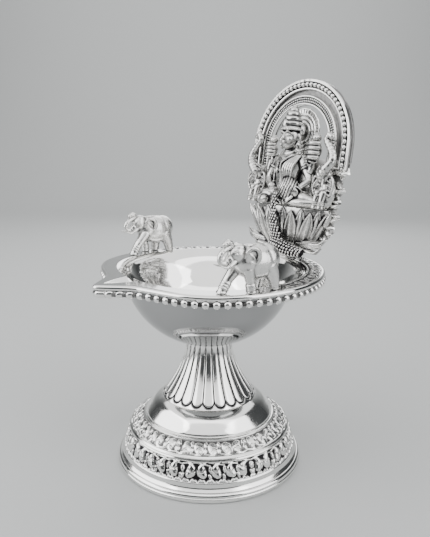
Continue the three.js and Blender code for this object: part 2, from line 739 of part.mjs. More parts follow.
// Half width and reach of the lotus at a height above the rim.
function lotusSize(height) {
  const t = THREE.MathUtils.clamp((height - platePieceBottom) / (seatHeight - platePieceBottom), 0, 1);
  const swell = Math.sin(0.5 * Math.PI * (0.36 + 0.64 * t));
  return [seatWidth * swell - petalRise, seatReach * swell - petalRise];
}

function lotusSeat() {
  const sections = [0, 0.2, 0.45, 0.7, 0.9, 1].map((t) => {
    const height = THREE.MathUtils.lerp(platePieceBottom, seatHeight, t);
    const [rx, ry] = lotusSize(height);
    return [0, 0, height, rx, ry];
  });
  const forms = [column(sections, 18)];
  for (let i = 0; i < petalCount; i += 1) {
    const angle = Math.PI * ((i + 0.5) / petalCount);
    const [across, forward] = [Math.cos(angle), Math.sin(angle)];
    const point = (height, out) => {
      const [rx, ry] = lotusSize(height);
      return [across * (rx + out), -forward * (ry + out), height];
    };
    forms.push(limb([point(3.4, -0.6), point(8.5, 0.1), point(13.5, 0.2), point(seatHeight - 0.9, 0.9)],
      [1.2, 2.3, 2.5, 0.5], 5, 4));
  }
  for (const side of [1, -1]) {
    const sepal = [[9 * side, -3.8, 6.4], [16.6 * side, -4.6, 7.4], [21.4 * side, -4.2, 10.2]];
    forms.push(limb(sepal, [1.8, 1.8, 0.5], 5, 3));
  }
  const behind = block([-40, plateFront - castGap, -5], [40, 20, 40]);
  const above = block([-40, -40, seatHeight], [40, 20, 40]);
  const below = block([-40, -40, -10], [40, 20, platePieceBottom]);
  return cut(fused(forms), [behind, above, below]);
}

// Coins poured from the lower hand, three strings of them, over the lotus and on to a heap at its foot
function coinStream() {
  const strings = 3;
  const coins = 10;
  const coinRadius = 0.85;
  const coinFall = 3.6;
  const clear = 2.5 + castGap + coinRadius;
  const forms = [];
  for (let i = 0; i < strings; i += 1) {
    const offset = (i - 1) * 1.45;
    const place = (t) => {
      const height = THREE.MathUtils.lerp(seatHeight + coinFall, 4.2, t);
      const reach = lotusSize(Math.min(height, seatHeight))[1] + clear;
      const centre = v3(offset + 2.4 + 0.8 * t * t, -reach, height);
      return { centre, out: v3(1, 0, 0), up: v3(0, 1, 0) };
    };
    const coin = [coinRadius, coinRadius];
    forms.push(beadWire(place, coins, coin, coin.map((size) => 0.5 * size), false, 4));
  }
  const heap = [[0.2, -9.0, 3.8], [4.6, -8.9, 3.0], [9.2, -8.2, 2.2], [13.4, -6.6, 2.0]];
  forms.push(limb(heap, [1.8, 2.2, 1.8, 1.1], 7, 6));
  return fused(forms);
}

// Small elephants at either hand, trunks raised in an S towards the arch
function attendantElephant(side) {
  const base = seatHeight + castGap;
  const at = (x, y, z) => [side * x, y, base + z];
  const forms = [
    ball(...at(17.6, -3.0, 6.0), 3.9, 3.0, 5.4),
    ball(...at(17.2, -4.4, 12.0), 3.2, 2.8, 3.4),
    ball(...at(20.6, -3.4, 11.2), 1.5, 1.0, 3.3, 6, 5),
    ball(...at(14.8, -4.2, 11.0), 1.2, 1.0, 2.9, 6, 5),
    limb([at(17.0, -5.4, 5.0), at(17.0, -6.0, 0.0)], [2.0, 1.7], 6, 1),
    limb([at(17.4, -5.6, 12.2), at(18.8, -6.4, 15.0), at(20.2, -5.6, 18.4), at(19.2, -5.0, 21.8),
      at(17.6, -4.9, 24.6), at(19.0, -4.9, 26.2)], [1.7, 1.5, 1.2, 1.0, 0.9, 0.8], 5, 8),
  ];
  const low = block([-40, plateFront - castGap, 0], [40, 10, archFoot - 0.5]);
  const archFace = mouldingBase - outerArchDepth - 2 * archBeadRadius;
  const high = block([-40, archFace - castGap, archFoot - 0.6], [40, 10, 70]);
  const under = block([-40, -30, 0], [40, 10, base]);
  return cut(fused(forms), [low, high, under]);
}

// Foot of the plate: a small block on the rim that carries the leaning castings
function plateFoot() {
  const half = plateFootWidth / 2;
  const low = [-half, plateSeatY - plateFootFront, rimTop + seatGap];
  const high = [half, plateSeatY + plateFootBack, rimTop + plateFootHeight];
  return block(low, high);
}

// Assembly

const lamp = new THREE.Group();

piece('foot_edge_ring', footEdgeRing(), silver, lamp);
piece('foot_lower_shell', footLowerShell(), oxidised, lamp);
piece('foot_upper_shell', footUpperShell(), oxidised, lamp);
piece('foot_dome', footDome(), silver, lamp);
piece('fluted_stem', flutedStem(), silver, lamp);
piece('centre_stud', centreStud(), steel, lamp);
piece('stud_washer', studWasher(), steel, lamp);
piece('stud_nut', studNut(), steel, lamp);
piece('bowl', bowl(), silver, lamp);
piece('rim_bead_wire', rimBeadWire(), oxidised, lamp);
placeElephant('elephant_right', 1, nearElephantAngle, nearElephantTurn, -1, lamp);
placeElephant('elephant_left', -1, farElephantAngle, 0, 1, lamp);
piece('plate_foot', plateFoot(), silver, lamp);

const plate = new THREE.Group();
plate.position.set(0, plateSeatY, rimTop);
plate.rotation.x = -rad(plateLean);
lamp.add(plate);

piece('back_plate', backPlate(), oxidised, plate);
piece('outer_arch', outerArch(), oxidised, plate);
piece('arch_bead_wire', archBeadWire(), silver, plate);
piece('inner_arch', innerArch(), oxidised, plate);
piece('halo', halo(), oxidised, plate);
piece('seated_figure', seatedFigure(), oxidised, plate);
piece('lotus_seat', lotusSeat(), oxidised, plate);
piece('coin_stream', coinStream(), silver, plate);
piece('attendant_elephant_right', attendantElephant(1), oxidised, plate);
piece('attendant_elephant_left', attendantElephant(-1), oxidised, plate);

// The origin is the middle of the lamp's footprint on the table.
lamp.updateMatrixWorld(true);
const extent = new THREE.Box3().setFromObject(lamp, true);
const middle = extent.getCenter(v3());
lamp.position.set(-middle.x, -middle.y, -extent.min.z);

export default lamp;
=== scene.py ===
# %% [markdown]
# # A silver oil lamp with a seated goddess, surface by surface
#
# The lamp stands on a turned and chased foot, carries a spouted bowl on a fluted stem, and has a cast
# back plate behind the flame. Every part of it was made in one of three ways: turned or raised sheet,
# drawn bead wire, and small castings. Each way has its own kind of surface here: a profile spun round
# the lamp's axis, a profile carried along a path, and rounded forms melted into one skin.
# All lengths are millimetres until a mesh is made; Blender gets metres.

# %% Load the fixed frame
from math import cos, radians, sin

import bpy
import numpy as np
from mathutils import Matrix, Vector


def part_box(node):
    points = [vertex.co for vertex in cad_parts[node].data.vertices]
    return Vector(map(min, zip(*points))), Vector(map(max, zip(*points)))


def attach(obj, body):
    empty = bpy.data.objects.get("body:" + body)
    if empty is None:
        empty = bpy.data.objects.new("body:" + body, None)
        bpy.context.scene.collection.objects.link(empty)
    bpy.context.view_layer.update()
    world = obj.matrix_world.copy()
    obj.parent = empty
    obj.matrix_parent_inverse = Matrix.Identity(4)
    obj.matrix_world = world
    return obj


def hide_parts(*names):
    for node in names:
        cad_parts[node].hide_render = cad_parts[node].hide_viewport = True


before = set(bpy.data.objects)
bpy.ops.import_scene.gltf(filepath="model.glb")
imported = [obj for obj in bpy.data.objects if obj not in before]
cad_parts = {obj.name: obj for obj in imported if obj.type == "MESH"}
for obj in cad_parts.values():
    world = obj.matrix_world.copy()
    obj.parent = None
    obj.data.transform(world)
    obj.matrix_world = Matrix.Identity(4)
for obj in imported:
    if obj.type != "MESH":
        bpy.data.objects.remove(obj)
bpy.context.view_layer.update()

# %% [markdown]
# The lamp's axis doesn't pass through the frame's origin, because the plate and the spout reach out
# unequally. The foot ring is round, so the middle of its box is the axis, and everything turned is
# worked out round (0, 0) and moved there at the end. The back plate leans, so its pieces are drawn
# upright in the plate's own axes and then tipped back and stood on the rim.

# %% The lamp's axis and the leaning plate's own axes
ring_low, ring_high = (np.array(corner) * 1000 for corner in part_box("foot_edge_ring"))
axis_place = np.array([(ring_low[0] + ring_high[0]) / 2, (ring_low[1] + ring_high[1]) / 2, 0.0])

rim_top = 70.8
plate_lean = radians(8.0)
plate_seat = np.array([0.0, 38.3, rim_top])


def on_axis(points):
    """Moves points given round (0, 0) to the lamp's axis."""
    return points + axis_place


def on_plate(points):
    """Tips points from the plate's upright axes: y' = y cos a + z sin a, z' = z cos a - y sin a."""
    x, y, z = points[..., 0], points[..., 1], points[..., 2]
    tipped = np.stack([x, y * cos(plate_lean) + z * sin(plate_lean),
                       z * cos(plate_lean) - y * sin(plate_lean)], axis=-1)
    return tipped + plate_seat + axis_place


print("axis of the lamp, mm:", axis_place.round(2))

# %% [markdown]
# The photograph was taken from the lamp's right front, a little above the rim, from about 20 cm with a
# normal lens. The ellipses of the rim and the foot fix the height and the tilt; the spout fixes the turn.

# %% Camera
camera_turn = radians(53.0)
camera_distance, camera_height, camera_tilt = 199.5, 114.72, radians(12.64)

camera_data = bpy.data.cameras.new("photo_camera")
camera_data.lens, camera_data.sensor_width = 39.15, 36.0
camera_data.shift_x = 6 / 537
camera = bpy.data.objects.new("photo_camera", camera_data)
bpy.context.scene.collection.objects.link(camera)
camera_place = axis_place + [camera_distance * sin(camera_turn), -camera_distance * cos(camera_turn), camera_height]
camera.location = camera_place / 1000
camera.rotation_euler = (radians(90) - camera_tilt, 0, camera_turn)
bpy.context.scene.camera = camera
print("camera at, m:", [round(c, 4) for c in camera.location])

# %% [markdown]
# Polished silver has no colour of its own to speak of: it shows the room. So the light is most of the
# picture. A few large soft panels give long white reflections with grey between them, a pale floor
# fills the foot from below, and a dim grey surround keeps the unlit sides from burning out.

# %% Floor, surround and light panels
def light_panel(name, place, aim, size, power):
    """An area light of a width and height in metres that looks from one point to another."""
    data = bpy.data.lights.new(name, "AREA")
    data.shape, data.size, data.size_y = "RECTANGLE", size[0], size[1]
    data.energy = power
    panel = bpy.data.objects.new(name, data)
    bpy.context.scene.collection.objects.link(panel)
    direction = np.array(aim, float) - np.array(place, float)
    turn = np.arctan2(direction[0], -direction[1])
    fall = np.arccos(-direction[2] / np.linalg.norm(direction))
    panel.location, panel.rotation_euler = place, (fall, 0, turn + np.pi)
    return panel


lamp_middle = (0.0, 0.0, 0.07)
light_panel("left_panel", (-0.24, -0.50, 0.32), lamp_middle, (0.66, 0.54), 4.6)
light_panel("right_panel", (0.50, 0.22, 0.28), lamp_middle, (0.50, 0.50), 2.6)
light_panel("front_panel", (0.36, -0.27, 0.56), lamp_middle, (1.10, 0.44), 2.6)
light_panel("top_panel", (-0.05, 0.04, 0.64), lamp_middle, (1.20, 1.10), 6.5)
light_panel("back_panel", (-0.38, 0.36, 0.30), lamp_middle, (0.30, 0.36), 1.0)
light_panel("wall_wash", (-0.62, 0.47, 0.75), (-0.96, 0.72, 0.25), (1.2, 0.3), 6.0)

world = bpy.data.worlds.new("studio_surround")
world.use_nodes = True
world.node_tree.nodes["Background"].inputs["Color"].default_value = (0.62, 0.65, 0.67, 1)
world.node_tree.nodes["Background"].inputs["Strength"].default_value = 0.10
bpy.context.scene.world = world


def paper_sweep(half_width=1.5, front=-1.2, back=1.15, bend=0.45, rise=1.4, steps=24):
    """Studio paper: flat under the lamp, bent up in a quarter circle and straight up behind it."""
    turn = np.linspace(0, np.pi / 2, steps)
    curve = np.stack([back - bend + bend * np.sin(turn), bend - bend * np.cos(turn)], -1)
    line = np.concatenate([[(front, 0.0)], curve, [(back, rise)]])
    away = np.array([-sin(camera_turn), cos(camera_turn)])
    across = np.array([cos(camera_turn), sin(camera_turn)])
    edges = [np.concatenate([line[:, :1] * away + side * half_width * across, line[:, 1:]], 1) for side in (-1, 1)]
    points = np.stack(edges, 1).reshape(-1, 3)
    k = 2 * np.arange(len(line) - 1)[:, None]
    return points, k + np.array([0, 1, 3, 2])


points, quads = paper_sweep()
floor_mesh = bpy.data.meshes.new("floor")
floor_mesh.from_pydata(points.tolist(), [], quads.tolist())
floor_mesh.shade_smooth()
floor = bpy.data.objects.new("floor", floor_mesh)
bpy.context.scene.collection.objects.link(floor)
floor_paper = bpy.data.materials.new("floor_paper")
floor_paper.use_nodes = True
floor_shader = floor_paper.node_tree.nodes["Principled BSDF"]
floor_shader.inputs["Base Color"].default_value = (0.42, 0.43, 0.43, 1)
floor_shader.inputs["Roughness"].default_value = 0.7
floor_mesh.materials.append(floor_paper)

# %% [markdown]
# ## From arrays to meshes
#
# A surface is a grid of points: rows run along the form, columns run round it. The grid is sewn into
# four-sided faces in one go. Where a form ends, its last ring is closed with a fan, so every skin is
# watertight. The sum of the faces' cones to the origin is the skin's volume, and if it comes out
# negative the faces look inwards and are turned round.

# %% Sewing a grid into a closed skin
def sewn(grid, loop=False):
    """Quads between neighbouring rows, wrapped round the columns; fans on both ends unless it's a loop.

    Vertex k of row i is i * columns + k; its quad joins it with row i + 1 and column k + 1.
    """
    rows, columns = grid.shape[:2]
    points = grid.reshape(-1, 3)
    i = np.arange(rows if loop else rows - 1)[:, None]
    k = np.arange(columns)[None, :]
    ahead, beside = (i + 1) % rows, (k + 1) % columns
    quads = np.stack([i * columns + k, i * columns + beside, ahead * columns + beside, ahead * columns + k], -1)
    quads = quads.reshape(-1, 4)
    fans = np.zeros((0, 3), int)
    if not loop:
        hubs = np.stack([grid[0].mean(0), grid[-1].mean(0)])
        k = np.arange(columns)
        near = np.stack([np.full(columns, len(points)), (k + 1) % columns, k], -1)
        far_row = (rows - 1) * columns
        far = np.stack([np.full(columns, len(points) + 1), far_row + k, far_row + (k + 1) % columns], -1)
        points = np.concatenate([points, hubs])
        fans = np.concatenate([near, far])
    a, b, c, d = (points[quads[:, n]] for n in range(4))
    volume = np.einsum("ij,ij->", a, np.cross(b, c)) + np.einsum("ij,ij->", a, np.cross(c, d))
    a, b, c = (points[fans[:, n]] for n in range(3))
    volume += np.einsum("ij,ij->", a, np.cross(b, c))
    if volume < 0:
        quads, fans = quads[:, ::-1], fans[:, ::-1]
    return points, quads, fans


def gathered(skins):
    """Several skins as one list of points and faces; each skin's indices move up by the points before it."""
    points, quads, fans, start = [], [], [], 0
    for p, q, f in skins:
        points.append(p)
        quads.append(q + start)
        fans.append(f + start)
        start += len(p)
    return np.concatenate(points), np.concatenate(quads), np.concatenate(fans)


def new_object(name, points, quads, fans, smooth_angle=40):
    """A mesh object at the origin, points in millimetres; edges sharper than the angle stay crisp."""
    mesh = bpy.data.meshes.new(name)
    mesh.from_pydata((points / 1000).tolist(), [], quads.tolist() + fans.tolist())
    mesh.shade_smooth()
    mesh.set_sharp_from_angle(angle=radians(smooth_angle))
    thing = bpy.data.objects.new(name, mesh)
    bpy.context.scene.collection.objects.link(thing)
    return thing


def set_recess(thing, values, name="recess"):
    """Stores how deep each point lies in a recess, 0 on the raised metal and 1 where black patina stays."""
    layer = thing.data.attributes.new(name, "FLOAT", "POINT")
    layer.data.foreach_set("value", np.clip(values, 0, 1).astype(np.float32))


def fit_to_lamp(thing, node, material):
    """Hands a finished piece to the frame: it rides on the lamp and stands for the CAD node."""
    thing.data.materials.clear()
    thing.data.materials.append(material)
    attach(thing, "root")
    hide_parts(node)
    faces = sum(len(p.vertices) - 2 for p in thing.data.polygons)
    print(f"{thing.name}: {faces} triangles")


# %% [markdown]
# ## Profiles
#
# A turner cuts a profile with corners, and the polishing mop rounds each corner a little. That tiny
# round is what catches the light, so every corner here is replaced by a short arc before it is spun.

# %% Rounded profiles and turning
def softened(corners, radius, steps=4, closed=True):
    """Cuts each corner back by the radius, or by under half a side, and bends a curve through the cut.

    The curve is p = (1-t)^2 a + 2t(1-t) b + t^2 c, with b the corner and a, c the two cut points.
    Many profiles can be softened at once: the corners run along the last axis but one.
    """
    corners = np.asarray(corners, float)
    before = np.roll(corners, 1, -2) - corners
    after = np.roll(corners, -1, -2) - corners
    length_before = np.linalg.norm(before, axis=-1, keepdims=True) + 1e-9
    length_after = np.linalg.norm(after, axis=-1, keepdims=True) + 1e-9
    reach = (np.asarray(radius, float) * np.ones(corners.shape[-2]))[:, None]
    a = corners + before / length_before * np.minimum(reach, 0.45 * length_before)
    c = corners + after / length_after * np.minimum(reach, 0.45 * length_after)
    if not closed:
        for end in (0, -1):
            a[..., end, :] = c[..., end, :] = corners[..., end, :]
    t = np.linspace(0, 1, steps)[:, None]
    a, b, c = a[..., None, :], corners[..., None, :], c[..., None, :]
    curve = (1 - t) ** 2 * a + 2 * t * (1 - t) * b + t ** 2 * c
    return curve.reshape(*corners.shape[:-2], -1, corners.shape[-1])


def along(points, count):
    """Points at equal steps of length along a polyline, found by linear interpolation."""
    points = np.asarray(points, float)
    steps = np.linalg.norm(np.diff(points, axis=0), axis=1)
    travelled = np.concatenate([[0], np.cumsum(steps)])
    wanted = np.linspace(0, travelled[-1], count)
    return np.stack([np.interp(wanted, travelled, points[:, n]) for n in range(points.shape[1])], -1)


def smoothed_line(points, count):
    """A smooth line through a few points: a cubic between neighbours whose slopes come from the points beside."""
    points = np.asarray(points, float)
    padded = np.concatenate([2 * points[:1] - points[1:2], points, 2 * points[-1:] - points[-2:-1]])
    u = np.linspace(0, len(points) - 1, count)
    k = np.minimum(u.astype(int), len(points) - 2)
    t = (u - k)[:, None]
    p0, p1, p2, p3 = (padded[k + n] for n in range(4))
    return 0.5 * (2 * p1 + (p2 - p0) * t + (2 * p0 - 5 * p1 + 4 * p2 - p3) * t ** 2
                  + (3 * p1 - p0 - 3 * p2 + p3) * t ** 3)


def smooth_step(x):
    """3x^2 - 2x^3 between 0 and 1, flat outside."""
    t = np.clip(x, 0, 1)
    return t * t * (3 - 2 * t)


def spun(profile, columns=192):
    """Turns a profile of (radius, height): x = r cos a, y = r sin a, z = height."""
    angle = np.linspace(0, 2 * np.pi, columns, endpoint=False)
    r, z = profile[:, 0][:, None], profile[:, 1][:, None]
    return np.stack([r * np.cos(angle), r * np.sin(angle), z + 0 * angle], -1)


print("a softened square has", len(softened([(0, 0), (1, 0), (1, 1), (0, 1)], 0.2)), "points")

# %% [markdown]
# ## Finishes
#
# Three finishes cover the lamp. Plain silver is mopped to a mirror, which leaves broad shallow waves and
# hair-fine marks. Chased and cast silver is dipped in liver of sulphur, which turns it black, and then
# rubbed bright again; the black stays where the rag can't reach. Each relief piece therefore carries a
# "recess" value at every point, and the finish fades from silver to black patina by it.

# %% Node helpers and the silver finishes
def add_node(tree, kind, **settings):
    """Adds a shader node and sets its named inputs."""
    node = tree.nodes.new(kind)
    for name, value in settings.items():
        node.inputs[name].default_value = value
    return node


def noise_node(tree, scale, detail=3.0, roughness=0.5):
    """A noise texture on the object's own coordinates; the scale counts features in a metre."""
    place = tree.nodes.new("ShaderNodeTexCoord")
    noise = add_node(tree, "ShaderNodeTexNoise", Scale=scale, Detail=detail, Roughness=roughness)
    tree.links.new(place.outputs["Object"], noise.inputs["Vector"])
    return noise


def ramp_node(tree, source, stops):
    """A colour ramp with the given (place, grey or colour) stops."""
    ramp = tree.nodes.new("ShaderNodeValToRGB")
    ramp.color_ramp.elements[0].position, ramp.color_ramp.elements[1].position = stops[0][0], stops[-1][0]
    for place, _ in stops[1:-1]:
        ramp.color_ramp.elements.new(place)
    for element, (_, colour) in zip(ramp.color_ramp.elements, stops):
        element.color = (*colour, 1) if isinstance(colour, tuple) else (colour, colour, colour, 1)
    tree.links.new(source, ramp.inputs["Fac"])
    return ramp


def bump_node(tree, source, distance, strength=1.0, under=None):
    """A bump of the given height in metres, laid over another bump if there is one."""
    bump = add_node(tree, "ShaderNodeBump", Strength=strength, Distance=distance)
    tree.links.new(source, bump.inputs["Height"])
    if under:
        tree.links.new(under.outputs["Normal"], bump.inputs["Normal"])
    return bump


silver_colour = (0.93, 0.925, 0.91)
patina_colour = (0.022, 0.021, 0.023)


def silver_finish(name, shine=0.09, wave=0.00012, pits=0.0, patina=False, painted_dim=False, colour=silver_colour,
                  grime=(0.34, 0.55, 0.86)):
    """Bright silver: a mirror with mopping waves and fine marks, cast pits, patina and a painted grey dimming where
    asked.

    grime gives the recess values where the patina starts, is half way and is full. The painted dimming is a grey
    mixed into the base colour, a painted reflection of darker surroundings that leaves the shine; its share is read
    from a surface value of the same name as this argument.
    """
    material = bpy.data.materials.new(name)
    material.use_nodes = True
    tree = material.node_tree
    shader = tree.nodes["Principled BSDF"]
    shader.inputs["Metallic"].default_value = 1.0
    waves = noise_node(tree, 70, 1.5)
    marks = noise_node(tree, 1400, 5.0, 0.6)
    bump = bump_node(tree, waves.outputs["Fac"], wave)
    bump = bump_node(tree, marks.outputs["Fac"], 0.000006, 0.6, bump)
    if pits:
        skin = noise_node(tree, 1500, 2.0, 0.7)
        bump = bump_node(tree, skin.outputs["Fac"], pits, 1.0, bump)
    tree.links.new(bump.outputs["Normal"], shader.inputs["Normal"])
    clouds = noise_node(tree, 160, 4.0, 0.6)
    polish = ramp_node(tree, clouds.outputs["Fac"], [(0.3, shine), (0.7, shine * 1.9 + 0.02)])
    tone = ramp_node(tree, clouds.outputs["Fac"], [(0.25, tuple(0.93 * c for c in colour)), (0.75, colour)])
    metal = tone.outputs["Color"]
    # Painted reflection: where asked, a grey is mixed into the base colour by a surface value, dimming the mirror as
    # darker surroundings would.
    if painted_dim:
        dim_share = tree.nodes.new("ShaderNodeAttribute")
        dim_share.attribute_name = "painted_dim"
        dimmed_metal = add_node(tree, "ShaderNodeMix")
        dimmed_metal.data_type = "RGBA"
        dimmed_metal.inputs["B"].default_value = (0.30, 0.305, 0.31, 1)
        tree.links.new(dim_share.outputs["Fac"], dimmed_metal.inputs["Factor"])
        tree.links.new(metal, dimmed_metal.inputs["A"])
        metal = dimmed_metal.outputs["Result"]
    if not patina:
        tree.links.new(polish.outputs["Color"], shader.inputs["Roughness"])
        tree.links.new(metal, shader.inputs["Base Color"])
        return material
    recess = tree.nodes.new("ShaderNodeAttribute")
    recess.attribute_name = "recess"
    grain = noise_node(tree, 900, 3.0, 0.6)
    broken = add_node(tree, "ShaderNodeMath")
    broken.operation = "MULTIPLY_ADD"
    broken.inputs[1].default_value = 0.26
    tree.links.new(grain.outputs["Fac"], broken.inputs[0])
    tree.links.new(recess.outputs["Fac"], broken.inputs[2])
    darkness = ramp_node(tree, broken.outputs[0], [(grime[0], 0.0), (grime[1], 0.5), (grime[2], 1.0)])
    colours = add_node(tree, "ShaderNodeMix")
    colours.data_type = "RGBA"
    colours.inputs["B"].default_value = (*patina_colour, 1)
    tree.links.new(darkness.outputs["Color"], colours.inputs["Factor"])
    tree.links.new(metal, colours.inputs["A"])
    tree.links.new(colours.outputs["Result"], shader.inputs["Base Color"])
    dulled = add_node(tree, "ShaderNodeMix")
    dulled.inputs["B"].default_value = 0.5
    tree.links.new(darkness.outputs["Color"], dulled.inputs["Factor"])
    tree.links.new(polish.outputs["Color"], dulled.inputs["A"])
    tree.links.new(dulled.outputs["Result"], shader.inputs["Roughness"])
    return material


mirror_silver = silver_finish("mirror_silver", shine=0.08, wave=0.00006)
bowl_silver = silver_finish("bowl_silver", shine=0.045, wave=0.00003, patina=True, painted_dim=True)
chased_silver = silver_finish("chased_silver", shine=0.10, wave=0.00006, patina=True)
cast_silver = silver_finish("cast_silver", shine=0.13, wave=0.00004, pits=0.00002, patina=True,
                            colour=(0.70, 0.695, 0.68), grime=(0.09, 0.25, 0.50))
pitted_silver = silver_finish("pitted_silver", shine=0.16, wave=0.00004, pits=0.00006, patina=True,
                              colour=(0.78, 0.775, 0.76), grime=(0.12, 0.34, 0.62))
steel_finish = silver_finish("turned_steel", shine=0.26, wave=0.00002, colour=(0.56, 0.57, 0.58))
print("finishes:", [m.name for m in bpy.data.materials])

# %% [markdown]
# ## The foot
#
# The foot is a stack of raised shells soldered edge to edge. The ring at the bottom is a thick rolled
# edge with a turned step, so it is a plain closed profile spun round the axis.

# %% Edge ring
seat_gap = 0.1
edge_ring_top, edge_ring_radius, cove_foot_radius, foot_sheet = 3.2, 33.6, 32.6, 1.1
ring_inner = cove_foot_radius - foot_sheet - 1.2


def edge_ring():
    """A rolled ring: flat below, a half round edge, a small step line, and a flat top for the cove."""
    section = [(ring_inner, 0), (edge_ring_radius - 0.5, 0), (edge_ring_radius, 0.55), (edge_ring_radius, 1.5),
               (edge_ring_radius - 0.3, 1.75), (edge_ring_radius - 0.12, 2.0), (edge_ring_radius - 0.35, 2.75),
               (cove_foot_radius + 0.05, edge_ring_top), (ring_inner, edge_ring_top)]
    rounding = [0.1, 0.3, 0.5, 0.35, 0.12, 0.3, 0.4, 0.2, 0.1]
    return sewn(on_axis(spun(softened(section, rounding, 5), 256)), loop=True)


ring = new_object("foot_ring_rolled", *edge_ring(), smooth_angle=50)
fit_to_lamp(ring, "foot_edge_ring", mirror_silver)

# %% [markdown]
# The two leaf bands are repousse: the pattern is pushed out from behind and then sharpened with
# punches from the front. Each leaf is drawn as a comma, a stroke along a bent line that swells and
# tapers. For every point of the band the distance to each stroke's line is found, and the height there
# is a round hump over the stroke, as a lead-backed punch leaves it. A vein is a fine groove down its
# middle. Where no stroke reaches, the ground is sunk and stays black.

# %% Commas for the leaf bands
def stroke_line(start, heading, curl, length, tighten=1.0, steps=16):
    """A bent line of equal steps: the heading turns by curl degrees in all, by share t as t^tighten."""
    turn = np.radians(heading + curl * np.linspace(0, 1, steps) ** tighten)
    step = length / (steps - 1)
    path = np.stack([np.cos(turn), np.sin(turn)], -1) * step
    return np.concatenate([[start], start + np.cumsum(path[:-1], 0)])


def stroke_height(u, v, line, widths, period, vein=0.0):
    """Height of one comma at points (u, v), where u repeats by period.

    With q the distance to the line over the half width there, the hump is sqrt(1 - q^2) times
    0.45 + 0.75 half width, so a thin stroke is a low one. A vein takes its depth off where q is near 0.
    """
    widths = np.interp(np.linspace(0, 1, len(line)), np.linspace(0, 1, len(widths)), widths)
    nearest, size = np.full(u.shape, 9.0), np.ones(u.shape)
    for (ax, ay), (bx, by), wa, wb in zip(line[:-1], line[1:], widths[:-1], widths[1:]):
        du = (u - ax + period / 2) % period - period / 2
        dv = v - ay
        ex, ey = bx - ax, by - ay
        t = np.clip((du * ex + dv * ey) / (ex * ex + ey * ey + 1e-9), 0, 1)
        half = wa + (wb - wa) * t
        share = np.hypot(du - t * ex, dv - t * ey) / half
        closer = share < nearest
        nearest, size = np.where(closer, share, nearest), np.where(closer, half, size)
    hump = np.sqrt(np.clip(1 - nearest ** 2, 0, 1)) * np.clip(0.45 + 0.75 * size, 0, 1)
    return hump - vein * np.exp(-(nearest / 0.17) ** 2)


def leaf_pattern(u, v, period, strokes):
    """The highest raised comma at each point, less half of any cut one; each is (line, half widths, kind)."""
    height, cut = np.zeros_like(u), np.zeros_like(u)
    for line, widths, kind in strokes:
        one = stroke_height(u, v, line, widths, period, 0.3 if kind == "veined" else 0.0)
        if kind == "cut":
            cut = np.maximum(cut, one)
        else:
            height = np.maximum(height, one)
    return np.clip(height - 0.9 * cut, 0, 1)


def leaf_strokes(width, tall, seed, fat):
    """One leaf of the running scroll: a round blade with a cut curl, its tip, two buds and a bit of stalk."""
    random = np.random.default_rng(seed)
    shake = lambda size: random.uniform(-size, size)
    lean, mirrored = shake(12), seed % 3 == 2
    at = lambda x, y: np.array([x * width + shake(0.12), y * tall + shake(0.12)])
    blade = stroke_line(at(0.36, 0.72), -112 + lean, 66 + shake(14), 0.42 * tall)
    tip = stroke_line(at(0.34, 0.70), 72 + lean, -75 + shake(15), 0.36 * tall)
    curl = stroke_line(at(0.56, 0.66), -112 + lean, -250 + shake(25), 0.74 * tall, 0.9)
    bud = stroke_line(at(0.97, 0.74), -100 + shake(14), 25, 0.26 * tall)
    low = stroke_line(at(0.90, 0.34), -70 + shake(14), -40, 0.26 * tall)
    stalk = stroke_line(at(-0.12, 0.96), -4 + shake(4), -8, 1.1 * width)
    size = fat * tall / 6.0
    strokes = [(blade, [0.95, 1.40, 1.50, 1.15], "plain"), (tip, [0.85, 0.62, 0.18], "plain"),
               (curl, [0.15, 0.26, 0.24, 0.16], "cut"), (bud, [0.46, 0.56, 0.25], "veined"),
               (low, [0.46, 0.56, 0.2], "plain"), (stalk, [0.26, 0.34, 0.26], "plain")]
    if mirrored:
        strokes = [(line * (-1, 1) + (width, 0), widths, kind) for line, widths, kind in strokes]
    return [(line, [size * w for w in widths], kind) for line, widths, kind in strokes]


def band_height(angle, v, radius, tall, repeats, fat=1.0):
    """The scroll round a whole band: eleven seeded variants of the leaf take turns, so neighbours differ."""
    whole = 2 * np.pi * radius
    width = whole / repeats
    u = (angle / (2 * np.pi) * whole) % whole
    height = np.zeros_like(u)
    for k in range(repeats):
        near = np.abs((u[0] - (k + 0.4) * width + whole / 2) % whole - whole / 2) < 1.6 * width
        strokes = leaf_strokes(width, tall, (5 * k) % 11, fat)
        moved = [(line + [k * width, 0], widths, kind) for line, widths, kind in strokes]
        height[:, near] = np.maximum(height[:, near], leaf_pattern(u[:, near], v[:, near], whole, moved))
    return height


